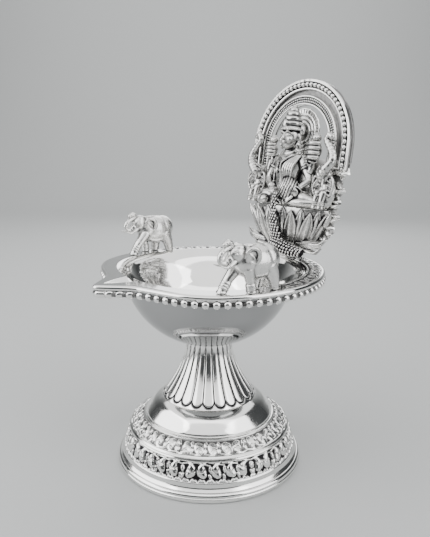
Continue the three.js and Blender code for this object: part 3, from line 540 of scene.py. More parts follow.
def chased_shell(outline, relief_span, height_at, relief, thickness, columns, rows=70, ragged=0.0, ground=1.0):
    """A raised sheet with a pattern pushed out of it, and a plain lining a sheet's thickness inside.

    The outline runs upwards as (radius, height). Points between the two heights of the relief span move
    along the outline's normal by relief * (pattern - 1), so the leaves' tops stay at the outline. The
    lower edge of the sunk ground wanders up and down by ragged, as it is punched up to the leaves.
    """
    line = along(outline, rows)
    slope = np.gradient(line, axis=0)
    normal = np.stack([slope[:, 1], -slope[:, 0]], -1) / np.linalg.norm(slope, axis=1, keepdims=True)
    low, high = relief_span
    inside = ((line[:, 1] > low) & (line[:, 1] < high)).astype(float)
    travelled = np.concatenate([[0], np.cumsum(np.linalg.norm(np.diff(line, axis=0), axis=1))])
    start = np.interp(low, line[:, 1], travelled)
    tall = np.interp(high, line[:, 1], travelled) - start
    angle = np.linspace(0, 2 * np.pi, columns, endpoint=False)
    a, s = np.meshgrid(angle, travelled - start)
    pattern = height_at(a, s, tall)
    wander = ragged * (0.5 + 0.3 * np.sin(61 * a + 2.0 * np.sin(7 * a)) + 0.2 * np.sin(143 * a + 1.0))
    edge = np.clip(np.minimum(s - wander, tall - s) / 0.3, 0, 1) * inside[:, None]
    sunk = relief * (pattern - 1) * edge
    r = line[:, 0][:, None] + normal[:, 0][:, None] * sunk
    z = line[:, 1][:, None] + normal[:, 1][:, None] * sunk
    outside = np.stack([r * np.cos(angle), r * np.sin(angle), z], -1)
    lining = along(outline, 12)
    slope = np.gradient(lining, axis=0)
    normal = np.stack([slope[:, 1], -slope[:, 0]], -1) / np.linalg.norm(slope, axis=1, keepdims=True)
    lining = lining - normal * thickness
    lining[0, 1], lining[-1, 1] = outline[0][1], outline[-1][1]
    grid = np.concatenate([outside, spun(lining[::-1], columns)])
    recess = np.concatenate([ground * (1 - np.clip(pattern * 1.5, 0, 1)) * edge, np.zeros((len(lining), columns))])
    return on_axis(grid), recess.ravel()


print("a comma's line has", len(stroke_line(np.array([0, 0]), 0, 90, 4)), "points")

# %% [markdown]
# The lower shell starts in a cove above the ring and carries the wide band; the upper one carries a
# narrower band on a flatter slope. Both are one sheet each, so pattern and plain edges are one surface.

# %% The two leaf bands
cove_top, lower_band_top, upper_band_top = 5.7, 12.8, 17.4
lower_band_foot_radius, ridge_radius, upper_band_top_radius = 31.1, 28.8, 23.4

lower_foot = edge_ring_top + seat_gap
lower_outline = smoothed_line([(cove_foot_radius - 0.2, lower_foot), (lower_band_foot_radius + 0.5, lower_foot + 1.0),
                               (lower_band_foot_radius + 0.3, cove_top), (lower_band_foot_radius, cove_top + 0.6),
                               (lower_band_foot_radius - 0.25, cove_top + 2.4),
                               (ridge_radius + 1.25, lower_band_top - 2.3), (ridge_radius, lower_band_top)], 120)
grid, recess = chased_shell(lower_outline, (cove_top + 0.4, lower_band_top - 0.5),
                            lambda a, s, tall: band_height(a, s, 30.2, tall, 40), 0.8, foot_sheet, 1040, 84,
                            ragged=1.0, ground=0.84)
lower_shell = new_object("foot_band_lower", *sewn(grid, loop=True), smooth_angle=60)
set_recess(lower_shell, recess)
fit_to_lamp(lower_shell, "foot_lower_shell", chased_silver)

upper_foot = lower_band_top + seat_gap
upper_rise, upper_spread = upper_band_top - upper_foot, ridge_radius - upper_band_top_radius
upper_outline = smoothed_line([(ridge_radius + 0.1, upper_foot), (ridge_radius + 0.32, upper_foot + 0.4),
                               (ridge_radius - 0.1, upper_foot + 0.8),
                               (ridge_radius - 0.25 * upper_spread, upper_foot + 0.42 * upper_rise),
                               (ridge_radius - 0.6 * upper_spread, upper_foot + 0.74 * upper_rise),
                               (upper_band_top_radius, upper_band_top)], 120)
grid, recess = chased_shell(upper_outline, (upper_foot + 1.0, upper_band_top - 0.25),
                            lambda a, s, tall: band_height(-a, tall - s, 26.0, tall, 36, 1.25), 0.5, foot_sheet, 1040, 70,
                            ground=0.66)
upper_shell = new_object("foot_band_upper", *sewn(grid, loop=True), smooth_angle=60)
set_recess(upper_shell, recess)
fit_to_lamp(upper_shell, "foot_upper_shell", chased_silver)

# %% [markdown]
# The dome is left plain and mopped to a mirror, so that the flutes and the flame show in it. Its outline
# is smooth but for a fillet at its foot and another where the stem stands.

# %% Dome
dome_top, dome_radius, flute_foot_radius = 24.2, 22.9, 17.0


def sheet_turned(outline, thickness, columns=224):
    """Spins an outline and the same outline a sheet's thickness inside it as one closed wall."""
    line = np.asarray(outline, float)
    slope = np.gradient(line, axis=0)
    normal = np.stack([slope[:, 1], -slope[:, 0]], -1) / np.linalg.norm(slope, axis=1, keepdims=True)
    lining = line - normal * thickness
    lining[0], lining[-1] = (line[0, 0] - thickness, line[0, 1]), (line[-1, 0] - thickness, line[-1, 1])
    return sewn(on_axis(spun(np.concatenate([line, lining[::-1]]), columns)), loop=True)


dome_foot = upper_band_top + seat_gap
dome_rise, dome_fall = dome_top - dome_foot, dome_radius - flute_foot_radius
dome_outline = smoothed_line([(dome_radius, dome_foot), (dome_radius + 0.05, dome_foot + 0.12 * dome_rise),
                              (dome_radius - 0.24 * dome_fall, dome_foot + 0.42 * dome_rise),
                              (dome_radius - 0.58 * dome_fall, dome_foot + 0.75 * dome_rise),
                              (flute_foot_radius, dome_top - 0.2), (flute_foot_radius - 1.6, dome_top)], 40)
dome = new_object("foot_dome_mirror", *sheet_turned(dome_outline, foot_sheet), smooth_angle=50)
fit_to_lamp(dome, "foot_dome", mirror_silver)

# %% [markdown]
# ## The stem
#
# The stem is one raised cone with 24 flutes chased into it. Across a flute the surface is a convex lobe
# between two thin black grooves. At its foot each lobe ends in a round tongue with a channel cut round
# it, and near the neck every groove carries a small leaf mark. All of that is one height over the cone.

# %% Fluted stem
cup_radius, bowl_bottom, stem_neck_radius, stem_wall = 29.6, 43.1, 8.1, 1.3
cup_depth = rim_top - bowl_bottom


def cup_point(climb, wall):
    """A point of the cup: (R sin c, top - D cos c), with R and D less by the wall for the inside."""
    return np.stack([(cup_radius - wall) * np.sin(climb), rim_top - (cup_depth - wall) * np.cos(climb)], -1)


stem_top = cup_point(np.arcsin(stem_neck_radius / cup_radius), -seat_gap)[1]
stem_ceiling = bowl_bottom - seat_gap - stem_wall
stud_hole, flute_count, flute_depth = 2.25, 24, 0.55


def stem_radius(t):
    """Radius at a share t of the stem's height: neck + (foot - neck) * (1 - t)^1.75."""
    return stem_neck_radius + (flute_foot_radius - stem_neck_radius) * np.clip(1 - t, 0, 1) ** 1.75


def fluted_stem(columns=768, rows=94):
    """Lobes 1 - 0.25 q^2 - 0.75 q^10 across each flute, where q is the distance from its middle line over
    its half width; below its centre point a flute ends in a half round, with a channel cut round it.
    """
    low = dome_top + seat_gap
    t = np.concatenate([np.linspace(0, 0.3, rows // 2, endpoint=False), np.linspace(0.3, 1, rows // 2)])[:, None]
    angle = np.linspace(0, 2 * np.pi, columns, endpoint=False)[None, :]
    x = (angle * flute_count / (2 * np.pi)) % 1 * 2 - 1
    radius = stem_radius(t)
    lobe_width = np.pi * radius / flute_count
    slope_length, tongue_centre = 22.0, 0.125
    from_middle = np.hypot(x * lobe_width, np.clip(tongue_centre - t, 0, None) * slope_length)
    q = from_middle / (0.94 * lobe_width)
    lobe = np.clip(1 - 0.25 * q ** 2 - 0.75 * q ** 10, 0, 1)
    lip = smooth_step((from_middle - 0.94 * lobe_width - 0.22) / 0.25) * (t < tongue_centre)
    mark_height = (t - 0.90) * 15
    mark = np.exp(-(((1 - np.abs(x)) - 0.34 * (1 - mark_height ** 2)) / 0.10) ** 2) * (np.abs(mark_height) < 1)
    depth = flute_depth * np.minimum(1, radius / 11)
    r = radius - depth * (1 - np.maximum(lobe, 0.92 * lip)) - 0.10 * mark
    z = low + t * (stem_top - low) + 0 * r
    outside = np.stack([r * np.cos(angle), r * np.sin(angle), z], -1)
    groove = np.clip((q - 0.90) / 0.07, 0, 1) * (1 - lip) * np.clip((1 - t) / 0.03, 0, 1)
    recess = np.maximum(groove, 0.9 * mark)
    dish = cup_point(np.arcsin(np.linspace(stem_neck_radius - 0.35, stud_hole, 12) / cup_radius), -seat_gap)
    bore_t = np.linspace((stem_ceiling - low) / (stem_top - low), 0, 14)
    bore = np.stack([stem_radius(bore_t) - flute_depth - stem_wall, low + bore_t * (stem_top - low)], -1)
    inside = spun(np.concatenate([dish, [(stud_hole, stem_ceiling)], bore]), columns)
    return np.concatenate([inside, outside]), np.concatenate([np.zeros(inside.shape[:2]), recess])


grid, recess = fluted_stem()
stem = new_object("stem_fluted_cone", *sewn(on_axis(grid), loop=True), smooth_angle=70)
set_recess(stem, recess.ravel())
fit_to_lamp(stem, "fluted_stem", chased_silver)

# %% [markdown]
# ## Bead wires
#
# A bead wire is a circle of changing size carried along a path: a full round at each bead, and thin
# reels between them. The same wire, in two sizes, trims the rim and the arch.

# %% Bead wires
def bead_wire(path, across, up, beads, radii, reel=0.42, gap=0.16, stations=16, sides=12, loop=True, soft=None,
              darken=0.80):
    """Circles carried along a path; their size is that of round beads with two thin reels between each two.

    With p the share of the way from bead to bead, the size is sqrt(1 - ((p - 1/2) / (1/2 - gap))^2) over a
    bead, and reel * |sin| of two half turns in the gaps. Path, across and up are given at the same points.
    """
    count = beads * stations
    u = np.arange(count if loop else count + 1) / stations
    p = u % 1
    bead = np.sqrt(np.clip(1 - ((p - 0.5) / (0.5 - gap)) ** 2, 0, 1))
    between = np.minimum(p, 1 - p) / gap
    reels = reel * (0.62 + 0.38 * np.abs(np.cos(np.pi * np.clip(between, 0, 1))))
    size = np.maximum(bead, np.where(between < 1, reels, 0))
    if soft is not None:
        size = size + (0.86 - size) * np.clip(soft(u / beads), 0, 1)
    extended = np.concatenate([path, path[:1]]) if loop else path
    run = np.concatenate([[0], np.cumsum(np.linalg.norm(np.diff(extended, axis=0), axis=1))])
    wanted = u / beads * run[-1]
    closed = lambda values: np.concatenate([values, values[:1]]) if loop else values
    pick = lambda values: np.stack([np.interp(wanted, run, closed(values)[:, n]) for n in range(3)], -1)
    centre, out, lift = pick(path), pick(across), pick(up)
    angle = np.linspace(0, 2 * np.pi, sides, endpoint=False)
    ring = (out[:, None] * (radii[0] * size)[:, None, None] * np.cos(angle)[None, :, None]
            + lift[:, None] * (radii[1] * size)[:, None, None] * np.sin(angle)[None, :, None])
    recess = np.repeat(np.clip((darken - size) * 4, 0, 1)[:, None], sides, 1)
    return centre[:, None] + ring, recess


print("bead wires are ready")

# %% [markdown]
# ## The bowl
#
# The bowl is raised from one disc: a round cup, an edge rounded over on to a flat flange, and the flange
# drawn out to an ogee spout. Each radial section has the same corners, so the whole bowl is one grid
# of softened sections. The outline changes with the angle from the spout, the sections follow it.

# %% Outlines of rim and opening
bowl_wall, rim_radius, rim_sheet, rim_edge_drop = 1.0, 40.0, 1.3, 1.5
opening_radius, opening_round, opening_at_spout = 33.4, 3.6, 30.6
spout_length, notch_radius, notch_angle, lip_depth = 44.4, 36.3, 18.0, 2.9
tip_round = 0.1


def rim_outline(a):
    """Rim radius at a degrees from the spout: an ogee point inside the notches, then a swell to the round."""
    a = np.abs(a)
    t = (np.hypot(a / notch_angle, tip_round) - tip_round) / (np.hypot(1, tip_round) - tip_round)
    point = spout_length - (spout_length - notch_radius) * (1 - np.clip(1 - t, 0, 1) ** 1.7)
    round_part = notch_radius + (rim_radius - notch_radius) * smooth_step((a - notch_angle - 4) / 36) ** 0.9
    return np.where(a < notch_angle, point, round_part)


def opening_outline(a):
    """Radius of the opening, drawn in a little towards the spout."""
    return opening_at_spout + (opening_radius - opening_at_spout) * smooth_step((np.abs(a) - 12) / 50)


def spout_angles(count):
    """Angles round the bowl, closer together at the spout: even steps plus a sine that gathers them."""
    even = np.linspace(-180, 180, count, endpoint=False)
    return even - 0.55 * 180 / np.pi * np.sin(np.radians(even))


# %% Bowl, spout and wick groove
bead_bay = 0.75 + 1.0 + 0.3
wick_groove_width, wick_groove_depth, wick_groove_end = 8.0, 1.6, 40.6


def bowl_grid(count=680):
    """Sections from the middle of the inside, over the flange, to the middle of the underside."""
    a = spout_angles(count)
    edge, opening = rim_outline(a), opening_outline(a)
    near = 1 - smooth_step((np.abs(a) - 10) / 14)
    floor_height = rim_top - (rim_sheet + (lip_depth - rim_sheet) * near)
    lip = np.maximum(opening - opening_round, cup_point(1.4, bowl_wall)[0])
    inside = np.broadcast_to(cup_point(np.linspace(0.02, 1.24, 24), bowl_wall), (count, 24, 2))
    outside = np.broadcast_to(cup_point(np.linspace(1.2, 0.02, 22), 0.0), (count, 22, 2))
    at = lambda r, z: np.stack([r + 0 * a, z + 0 * a], -1)[:, None]
    roundover = [at(lip, rim_top - opening_round), at(lip + 0.28 * (opening - lip), rim_top - 0.62 * opening_round),
                 at(lip + 0.62 * (opening - lip), rim_top - 0.26 * opening_round),
                 at(opening + 0.15, rim_top - 0.02)]
    flange = [at(opening + 0.3 + k * (edge - 1.15 - opening - 0.3), rim_top) for k in np.linspace(0, 1, 26)]
    under = [at(edge - 0.30, rim_top - 0.22), at(edge, rim_top - 0.75), at(edge - 0.05, rim_top - rim_edge_drop),
             at(edge - bead_bay, rim_top - rim_edge_drop), at(edge - bead_bay - 0.4, floor_height),
             at(opening + 0.9, floor_height), at(lip + 1.1 * bowl_wall, rim_top - opening_round - 0.9 * bowl_wall)]
    upper = np.concatenate([inside, *roundover, *flange], 1)
    lower = softened(np.concatenate([upper[:, -1:], *under, outside[:, :1]], 1), 0.32, 3, closed=False)[:, 3:-3]
    profile = np.concatenate([upper, lower, outside], 1)
    flange_rows = slice(inside.shape[1] + 4, upper.shape[1])
    direction = np.radians(a)
    r, z = profile[..., 0].T, profile[..., 1].T
    grid = np.stack([r * np.sin(direction), -r * np.cos(direction), z], -1)
    return grid, a, flange_rows, upper.shape[1]


grid, angles_round, flange_rows, upper_rows = bowl_grid()
recess = np.zeros(grid.shape[:2])
painted_dim = np.zeros(grid.shape[:2])
painted_dim[flange_rows], painted_dim[upper_rows + 8:] = 0.55, 0.85  # painted reflection: flange top and underside are dimmed grey for the darker room they would mirror

# The wick lies in a leaf-shaped channel: its half width is w (1 - t^1.7) and its depth d (1 - t^2.2) (1 - k^2)
top = grid[:upper_rows]
t = (-top[..., 1] - (opening_at_spout - 2)) / (wick_groove_end - opening_at_spout + 2)
half = np.maximum(0.5 * wick_groove_width * (1 - np.clip(t, 0, 1) ** 1.7), 0.05)
k = top[..., 0] / half
groove = wick_groove_depth * (1 - np.clip(t, 0, 1) ** 2.2) * np.clip(1 - k ** 2, 0, 1) * (t > 0) * (t < 1)
on_flange = np.clip((top[..., 2] - rim_top + 1.2) / 1.2, 0, 1)
recess[:upper_rows] = 0.9 * np.exp(-((np.abs(k) - 1) / 0.13) ** 2) * (t > 0.02) * (t < 0.98) * on_flange
# The painted grey dimming is kept out of the wick channel.
painted_dim[:upper_rows] *= 1 - (np.abs(k) < 1) * (t > 0) * (t < 1)
grid[:upper_rows, :, 2] -= groove * on_flange

# Leaves are chased into the rear of the flange, from behind the elephants to the plate
flange = grid[flange_rows]
reach = np.hypot(flange[..., 0], flange[..., 1])
across_flange = reach - opening_radius - 0.9
behind = smooth_step((np.abs(angles_round) - 93) / 1.5) * (1 - smooth_step((np.abs(angles_round) - 171) / 2))
rows_to = np.broadcast_to(np.radians(angles_round) % (2 * np.pi), reach.shape)
leaves = band_height(rows_to, across_flange, 36.4, 4.4, 62)
field = behind * np.clip(np.minimum(across_flange, 4.5 - across_flange) / 0.25, 0, 1)
grid[flange_rows, :, 2] -= 0.32 * (1 - leaves) * field
recess[flange_rows] = (1 - np.clip(1.5 * leaves, 0, 1)) * field
points, quads, fans = sewn(on_axis(grid))
bowl = new_object("bowl_spouted_cup", points, quads, fans, smooth_angle=60)
set_recess(bowl, np.concatenate([recess.ravel(), [0, 0]]))
# The painted reflection dimming is stored as a second surface value.
set_recess(bowl, np.concatenate([painted_dim.ravel(), [0, 0.85]]), "painted_dim")
fit_to_lamp(bowl, "bowl", bowl_silver)

# %% Big beads under the rim
rim_bead_count, rim_bead_height, rim_bead_radial, rim_bead_inset = 78, 1.25, 1.0, 0.75
degrees_round = np.linspace(-180, 180, 3600, endpoint=False)
outward = np.stack([np.sin(np.radians(degrees_round)), -np.cos(np.radians(degrees_round)), 0 * degrees_round], -1)
upward = np.tile([0.0, 0.0, 1.0], (len(outward), 1))
bead_height = rim_top - rim_edge_drop - seat_gap - rim_bead_height
rim_tip_inset = 1.0
rim_reach = np.minimum(rim_outline(degrees_round) - rim_bead_inset, rim_outline(0.0) - rim_tip_inset)
rim_path = outward * rim_reach[:, None] + upward * bead_height


def plain_at_tip(share):
    """1 at the spout's tip, where the wire is left smooth, and 0 a few millimetres away from it."""
    return 1 - smooth_step((np.abs(share - 0.5) * 260 - 2.5) / 2.5)


grid, recess = bead_wire(rim_path, outward, upward, rim_bead_count, (rim_bead_radial, rim_bead_height),
                         reel=0.66, gap=0.11, stations=20, sides=14, soft=plain_at_tip, darken=0.74)
rim_beads = new_object("rim_beads_large", *sewn(on_axis(grid), loop=True))
set_recess(rim_beads, recess.ravel())
fit_to_lamp(rim_beads, "rim_bead_wire", chased_silver)

# %% [markdown]
# ## The stud inside the stem
#
# The bowl is held down by a stud brazed under its cup, with a washer and a nut inside the stem's top.
# The thread is a real helix: the radius falls with the distance from the nearest turn of the spiral.

# %% Stud, washer and nut
stud_top = bowl_bottom - seat_gap
stud_bottom, stud_radius, thread_pitch = stud_top - 11.5, 2.0, 0.7
angle = np.linspace(0, 2 * np.pi, 48, endpoint=False)
height = np.linspace(stud_bottom, stud_top, 130)[:, None]
tooth = np.abs(((height - stud_bottom) / thread_pitch - angle / (2 * np.pi)) % 1 - 0.5) * 2
ends = np.clip(np.minimum(height - stud_bottom, 9.5 - (height - stud_bottom)) / 0.5, 0, 1)
r = stud_radius - 0.28 * tooth * ends - 0.3 * (height < stud_bottom + 0.05)
stud = new_object("stud_threaded", *sewn(on_axis(np.stack([r * np.cos(angle), r * np.sin(angle), height + 0 * r], -1))))
fit_to_lamp(stud, "centre_stud", steel_finish)

washer_top = stem_ceiling - seat_gap
washer_section = softened([(stud_hole, washer_top - 0.8), (4.9, washer_top - 0.8), (4.9, washer_top),
                           (stud_hole, washer_top)], 0.15)
washer = new_object("washer_flat", *sewn(on_axis(spun(washer_section, 64)), loop=True))
fit_to_lamp(washer, "stud_washer", steel_finish)

nut_top, nut_thickness, nut_across_flats = washer_top - 0.9, 3.2, 7.0
angle = np.linspace(0, 2 * np.pi, 96, endpoint=False)
hexagon = nut_across_flats / 2 / np.cos((angle + np.pi / 6) % (np.pi / 3) - np.pi / 6)
levels = np.array([(0, 0), (0, 0), (0.25, 0.35), (nut_thickness - 0.25, 0.35), (nut_thickness, 0), (nut_thickness, 0)])
chamfered = np.minimum(hexagon[None, :], nut_across_flats / 2 * 1.02 + levels[:, 1][:, None])
chamfered[0] = chamfered[-1] = stud_hole
z = (nut_top - nut_thickness + levels[:, 0])[:, None] + 0 * chamfered
grid = np.stack([chamfered * np.cos(angle), chamfered * np.sin(angle), z], -1)
nut = new_object("nut_hexagon", *sewn(on_axis(grid), loop=True), smooth_angle=25)
fit_to_lamp(nut, "stud_nut", steel_finish)

# %% [markdown]
# ## Arches and plate
#
# Behind the goddess stands a leaning sheet. Above, it is a round arch with an open window; below, it is
# the back of a throne whose ledges step out at both sides. Two mouldings run round the arch, and a wire
# of beads lies in a bed in the outer one. Every one of these is a section carried along the same path:
# up one leg, round the half circle, down the other leg.

# %% The arch's path
plate_sheet, arch_height, arch_radius, arch_leg = 1.2, 41.0, 24.4, 8.0
inner_arch_radius, inner_arch_width, window_sill = 18.7, 3.6, 36.0
plate_front = -plate_sheet / 2


def arch_path(radius, leg, count):
    """Points round the arch as (x, z), the outward direction there, and the share of the way in millimetres."""
    run = np.linspace(-leg, np.pi * radius + leg, count)
    angle = np.clip(run / radius, 0, np.pi)
    drop = np.minimum(run, 0) + np.minimum(np.pi * radius - run, 0)
    out = np.stack([np.cos(angle), np.sin(angle)], -1)
    centre = radius * out + np.stack([0 * drop, arch_height + drop], -1)
    return centre, out, run


def arch_moulding(radius, leg, section, count=420, shape_at=None):
    """A section of (inset from the edge, height off the plate) carried round the arch, as a closed skin.

    shape_at(run, inset, rise) may add to the height, which makes beads and leaves on the moulding.
    """
    centre, out, run = arch_path(radius, leg, count)
    section = np.asarray(section, float)
    inset = np.broadcast_to(section[:, 0], (count, len(section)))
    rise = np.broadcast_to(section[:, 1], (count, len(section))).copy()
    low = 0
    if shape_at:
        added, low = shape_at(run[:, None], inset, rise)
        rise += added
    x = centre[:, :1] - out[:, :1] * inset
    z = centre[:, 1:] - out[:, 1:] * inset
    base = plate_front - seat_gap
    return np.stack([x, base - rise, z], -1), np.broadcast_to(low, rise.shape)


# %% Back plate: throne back and open arch
def throne_half_width(z):
    """Half width of the throne at each height: ledges that step out, each a rounded tooth, over a taper."""
    heights = [2.3, 3.6, 7.2, 10.8, 12.2, 13.6, 15.2, 16.4, 18.6, 20.0, 21.2, 23.8, 25.6, 27.6, 29.6, 31.4, 33.4, 36.5]
    widths = [8.0, 13.0, 18.2, 21.6, 21.4, 20.6, 22.9, 23.2, 21.2, 22.4, 22.8, 22.0, 24.2, 22.4, 22.4, 25.0, 24.3, 24.4]
    return np.interp(z, heights, widths)


def throne_ledge(z):
    """How far the ledges stand off the sheet at each height: a row of half-round mouldings."""
    ledges = np.array([(12.3, 0.9), (14.9, 1.0), (16.6, 0.6), (20.0, 0.8),
                       (21.7, 0.6), (25.4, 0.9), (31.6, 1.2), (33.2, 0.8)])
    away = (z[..., None] - ledges[:, 0]) / ledges[:, 1]
    return np.max(np.sqrt(np.clip(1 - away ** 2, 0, 1)) * ledges[:, 1] * 1.5, axis=-1)


def throne_back(rows=230, columns=56):
    """Level oval-cornered sections: the front bulges with the ledges towards both sides, the back is flat."""
    z = np.linspace(2.3, 36.4, rows)[:, None]
    across = np.linspace(-1, 1, columns)[None, :]
    across = np.sign(across) * np.abs(across) ** 0.8
    w = throne_half_width(z)
    side = smooth_step((np.abs(across) - 0.62) / 0.3)
    edge = np.sqrt(np.clip(1 - np.abs(across) ** 24, 0, 1))
    scroll = np.sin(1.7 * z + 2.2 * np.abs(across) * w) * np.sin(1.1 * np.abs(across) * w)
    front = -plate_sheet / 2 * edge - side * edge * (throne_ledge(z) + 0.35 * scroll * (throne_ledge(z) < 0.2))
    back = plate_sheet / 2 * edge + 0.15 * side * edge * throne_ledge(z)
    x = across * w
    face = np.stack([x, front, z + 0 * x], -1)
    rear = np.stack([x, back, z + 0 * x], -1)[:, ::-1]
    sunk = 0.55 * side * np.clip(1 - 1.6 * throne_ledge(z) - 0.8 * (scroll > 0.25), 0, 1) + (1 - side) * 0.45
    return np.concatenate([face, rear], 1), np.concatenate([sunk, 0.25 + 0 * sunk], 1)


def arch_sheet():
    """The sheet round the window: a thin rounded section carried round the arch, with more patina in front."""
    window = inner_arch_radius - inner_arch_width
    wide = arch_radius - window
    section = softened([(0, 0), (0, -plate_sheet), (wide, -plate_sheet), (wide, 0)], 0.3, 6)
    centre, out, _ = arch_path(arch_radius, arch_height - window_sill + 0.4, 300)
    x = centre[:, :1] - out[:, :1] * section[:, 0]
    z = centre[:, 1:] - out[:, 1:] * section[:, 0]
    sunk = np.where(section[:, 1] > -plate_sheet / 2, 0.60, 0.25)
    return np.stack([x, plate_front - section[:, 1] + 0 * x, z], -1), np.broadcast_to(sunk, x.shape)


throne, throne_recess = throne_back()
sheet, sheet_recess = arch_sheet()
skins = [sewn(on_plate(throne)), sewn(on_plate(sheet))]
back_plate = new_object("plate_sheet", *gathered(skins), smooth_angle=45)
set_recess(back_plate, np.concatenate([throne_recess.ravel(), [0, 0], sheet_recess.ravel(), [0, 0]]))
fit_to_lamp(back_plate, "back_plate", chased_silver)

# %% Outer arch, with a flat border and a bed for the beads
outer_width, outer_depth = 3.7, 1.7
bed = 0.45 * outer_depth


def crest(run, inset, rise):
    """A small leaf ornament at the top of the arch: the rays of a fan, fading down both sides."""
    middle = run - np.pi * arch_radius / 2
    fan = np.abs(np.cos(middle * 1.15)) ** 3 * np.exp(-(middle / 2.2) ** 2)
    strip = np.clip(1 - np.abs(inset - 0.4) / 0.8, 0, 1)
    return 0.3 * fan * strip, np.clip((rise < 0.95) * (rise > 0.05) * 0.72, 0, 1)


section = softened([(0, 0), (0, outer_depth), (0.3, outer_depth + 0.02), (0.42, outer_depth - 0.28),
                    (0.54, outer_depth), (0.85, outer_depth), (1.0, bed), (outer_width - 0.75, bed), (outer_width - 0.6, 0.85 * outer_depth),
                    (outer_width, 0.8 * outer_depth), (outer_width, 0)],
                   [0.1, 0.25, 0.08, 0.08, 0.08, 0.12, 0.1, 0.1, 0.12, 0.2, 0.1], 4)
grid, recess = arch_moulding(arch_radius, arch_leg, section, shape_at=crest)
outer = new_object("arch_outer_border", *sewn(on_plate(grid)), smooth_angle=40)
set_recess(outer, np.concatenate([recess.ravel(), [0, 0]]))
fit_to_lamp(outer, "outer_arch", chased_silver)

# %% Beads in the outer arch
arch_bead_count, arch_bead_radius = 42, 0.8
bed_middle = (1.0 + outer_width - 0.75) / 2
centre, out, run = arch_path(arch_radius - bed_middle, arch_leg - 0.5, 900)
depth = plate_front - 2 * seat_gap - bed - arch_bead_radius
path = np.stack([centre[:, 0], np.full(len(centre), depth), centre[:, 1]], -1)
outward = np.stack([out[:, 0], 0 * out[:, 0], out[:, 1]], -1)
forward = np.tile([0.0, 1.0, 0.0], (len(path), 1))
grid, recess = bead_wire(path, outward, forward, arch_bead_count, (arch_bead_radius,) * 2, reel=0.5, gap=0.06,
                         stations=20, sides=14, loop=False, darken=0.64)
arch_beads = new_object("arch_beads_round", *sewn(on_plate(grid)))
set_recess(arch_beads, np.concatenate([recess.ravel(), [0, 0]]))
fit_to_lamp(arch_beads, "arch_bead_wire", chased_silver)

# %% Inner arch, with two rows of fine beads
inner_depth = 1.9


def fine_beads(run, inset, rise):
    """Two rows of small half balls along the moulding, each sqrt(1 - r^2) high, and dark ground round them."""
    pitch, size = 1.05, 0.42
    height, ground = 0 * inset + 0 * run, 0 * inset + 0 * run
    for row in (1.35, 2.25):
        along_row = (run / pitch % 1 - 0.5) * pitch
        r = np.hypot(along_row, inset - row) / size
        height = np.maximum(height, np.sqrt(np.clip(1 - r ** 2, 0, 1)) * size)
        ground = np.maximum(ground, (np.abs(inset - row) < 0.62) * np.clip((r - 0.7) / 0.3, 0, 1))
    top = rise > 0.6 * inner_depth
    return height * top, np.clip(ground, 0, 1) * top


w, d = inner_arch_width, inner_depth
face = [(k, 0.62 * d) for k in np.linspace(0.95, w - 0.95, 26)]
section = np.concatenate([softened([(w, 0), (0, 0), (0, 0.7 * d), (0.25, d), (0.6, d), (0.85, 0.62 * d)], 0.12, 3),
                          face, softened([(w - 0.85, 0.62 * d), (w - 0.6, d), (w - 0.25, d), (w, 0.7 * d)], 0.12, 3)])
grid, recess = arch_moulding(inner_arch_radius, arch_leg, section, count=760, shape_at=fine_beads)
inner = new_object("arch_inner_beaded", *sewn(on_plate(grid)), smooth_angle=50)
set_recess(inner, np.concatenate([recess.ravel(), [0, 0]]))
fit_to_lamp(inner, "inner_arch", chased_silver)

# %% [markdown]
# The halo is a shallow dish behind the head. Rings are turned into it, its outer band is divided into
# short rays, and its edge is scalloped. It is a spun profile whose height and radius both change with
# the angle.

# %% Halo
head_height, halo_radius, halo_thickness, halo_depth, halo_rise = 43.6, 9.2, 1.0, 0.6, 2.4


def halo_grid(columns=360, rows=60):
    """Height off the back: a dished base, four ring ridges and 36 rays in the outer band."""
    r = np.concatenate([np.linspace(0.05, 1, rows)])[:, None]
    angle = np.linspace(0, 2 * np.pi, columns, endpoint=False)[None, :]
    scallop = 1 - 0.02 * (1 - np.abs(np.sin(9 * angle)))
    rings = sum(np.exp(-((r - k) / 0.035) ** 2) for k in (0.42, 0.58, 0.74, 0.97))
    rays = np.abs(np.sin(18 * angle)) ** 0.7 * smooth_step((r - 0.77) / 0.04) * (1 - smooth_step((r - 0.90) / 0.05))
    rise = 0.35 + 0.3 * r ** 2 + 0.33 * np.minimum(rings, 1) + 0.14 * rays
    rise = np.minimum(rise, halo_thickness) * np.sqrt(np.clip(1 - (r - 0.02) ** 40, 0, 1))
    reach = halo_radius * scallop * r
    x, z = reach * np.cos(angle), head_height + halo_rise + reach * np.sin(angle)
    front = np.stack([x, -halo_depth - rise, z], -1)
    back = np.stack([x, -halo_depth + 0 * rise, z], -1)
    low = np.clip(1 - 1.3 * np.minimum(rings, 1) - 1.2 * rays, 0, 1) * (0.45 + 0.25 * (r > 0.76))
    return np.concatenate([back[1::6], front[::-1]]), np.concatenate([0.2 + 0 * low[1::6], low[::-1]])


grid, recess = halo_grid()
halo = new_object("halo_ringed", *sewn(on_plate(grid)), smooth_angle=60)
set_recess(halo, np.concatenate([recess.ravel(), [0, 0]]))
fit_to_lamp(halo, "halo", chased_silver)

# %% [markdown]
# ## Castings
#
# The goddess, her lotus, the coins and the elephants are lost-wax castings. A wax model is built up from
# rolls and pellets that are pressed together until the joints melt away, and that is done here too:
# limbs, balls and petals are worked out one by one, pushed into each other, and a voxel remesh melts
# them into one skin. A few smoothing passes soften it as investment plaster does. The recess value comes
# from the shape itself: where a point lies deeper than the smoothed surface round it, patina stays.

# %% Rolls and pellets
def unit(vectors):
    """Vectors scaled to length one."""
    return vectors / (np.linalg.norm(vectors, axis=-1, keepdims=True) + 1e-12)


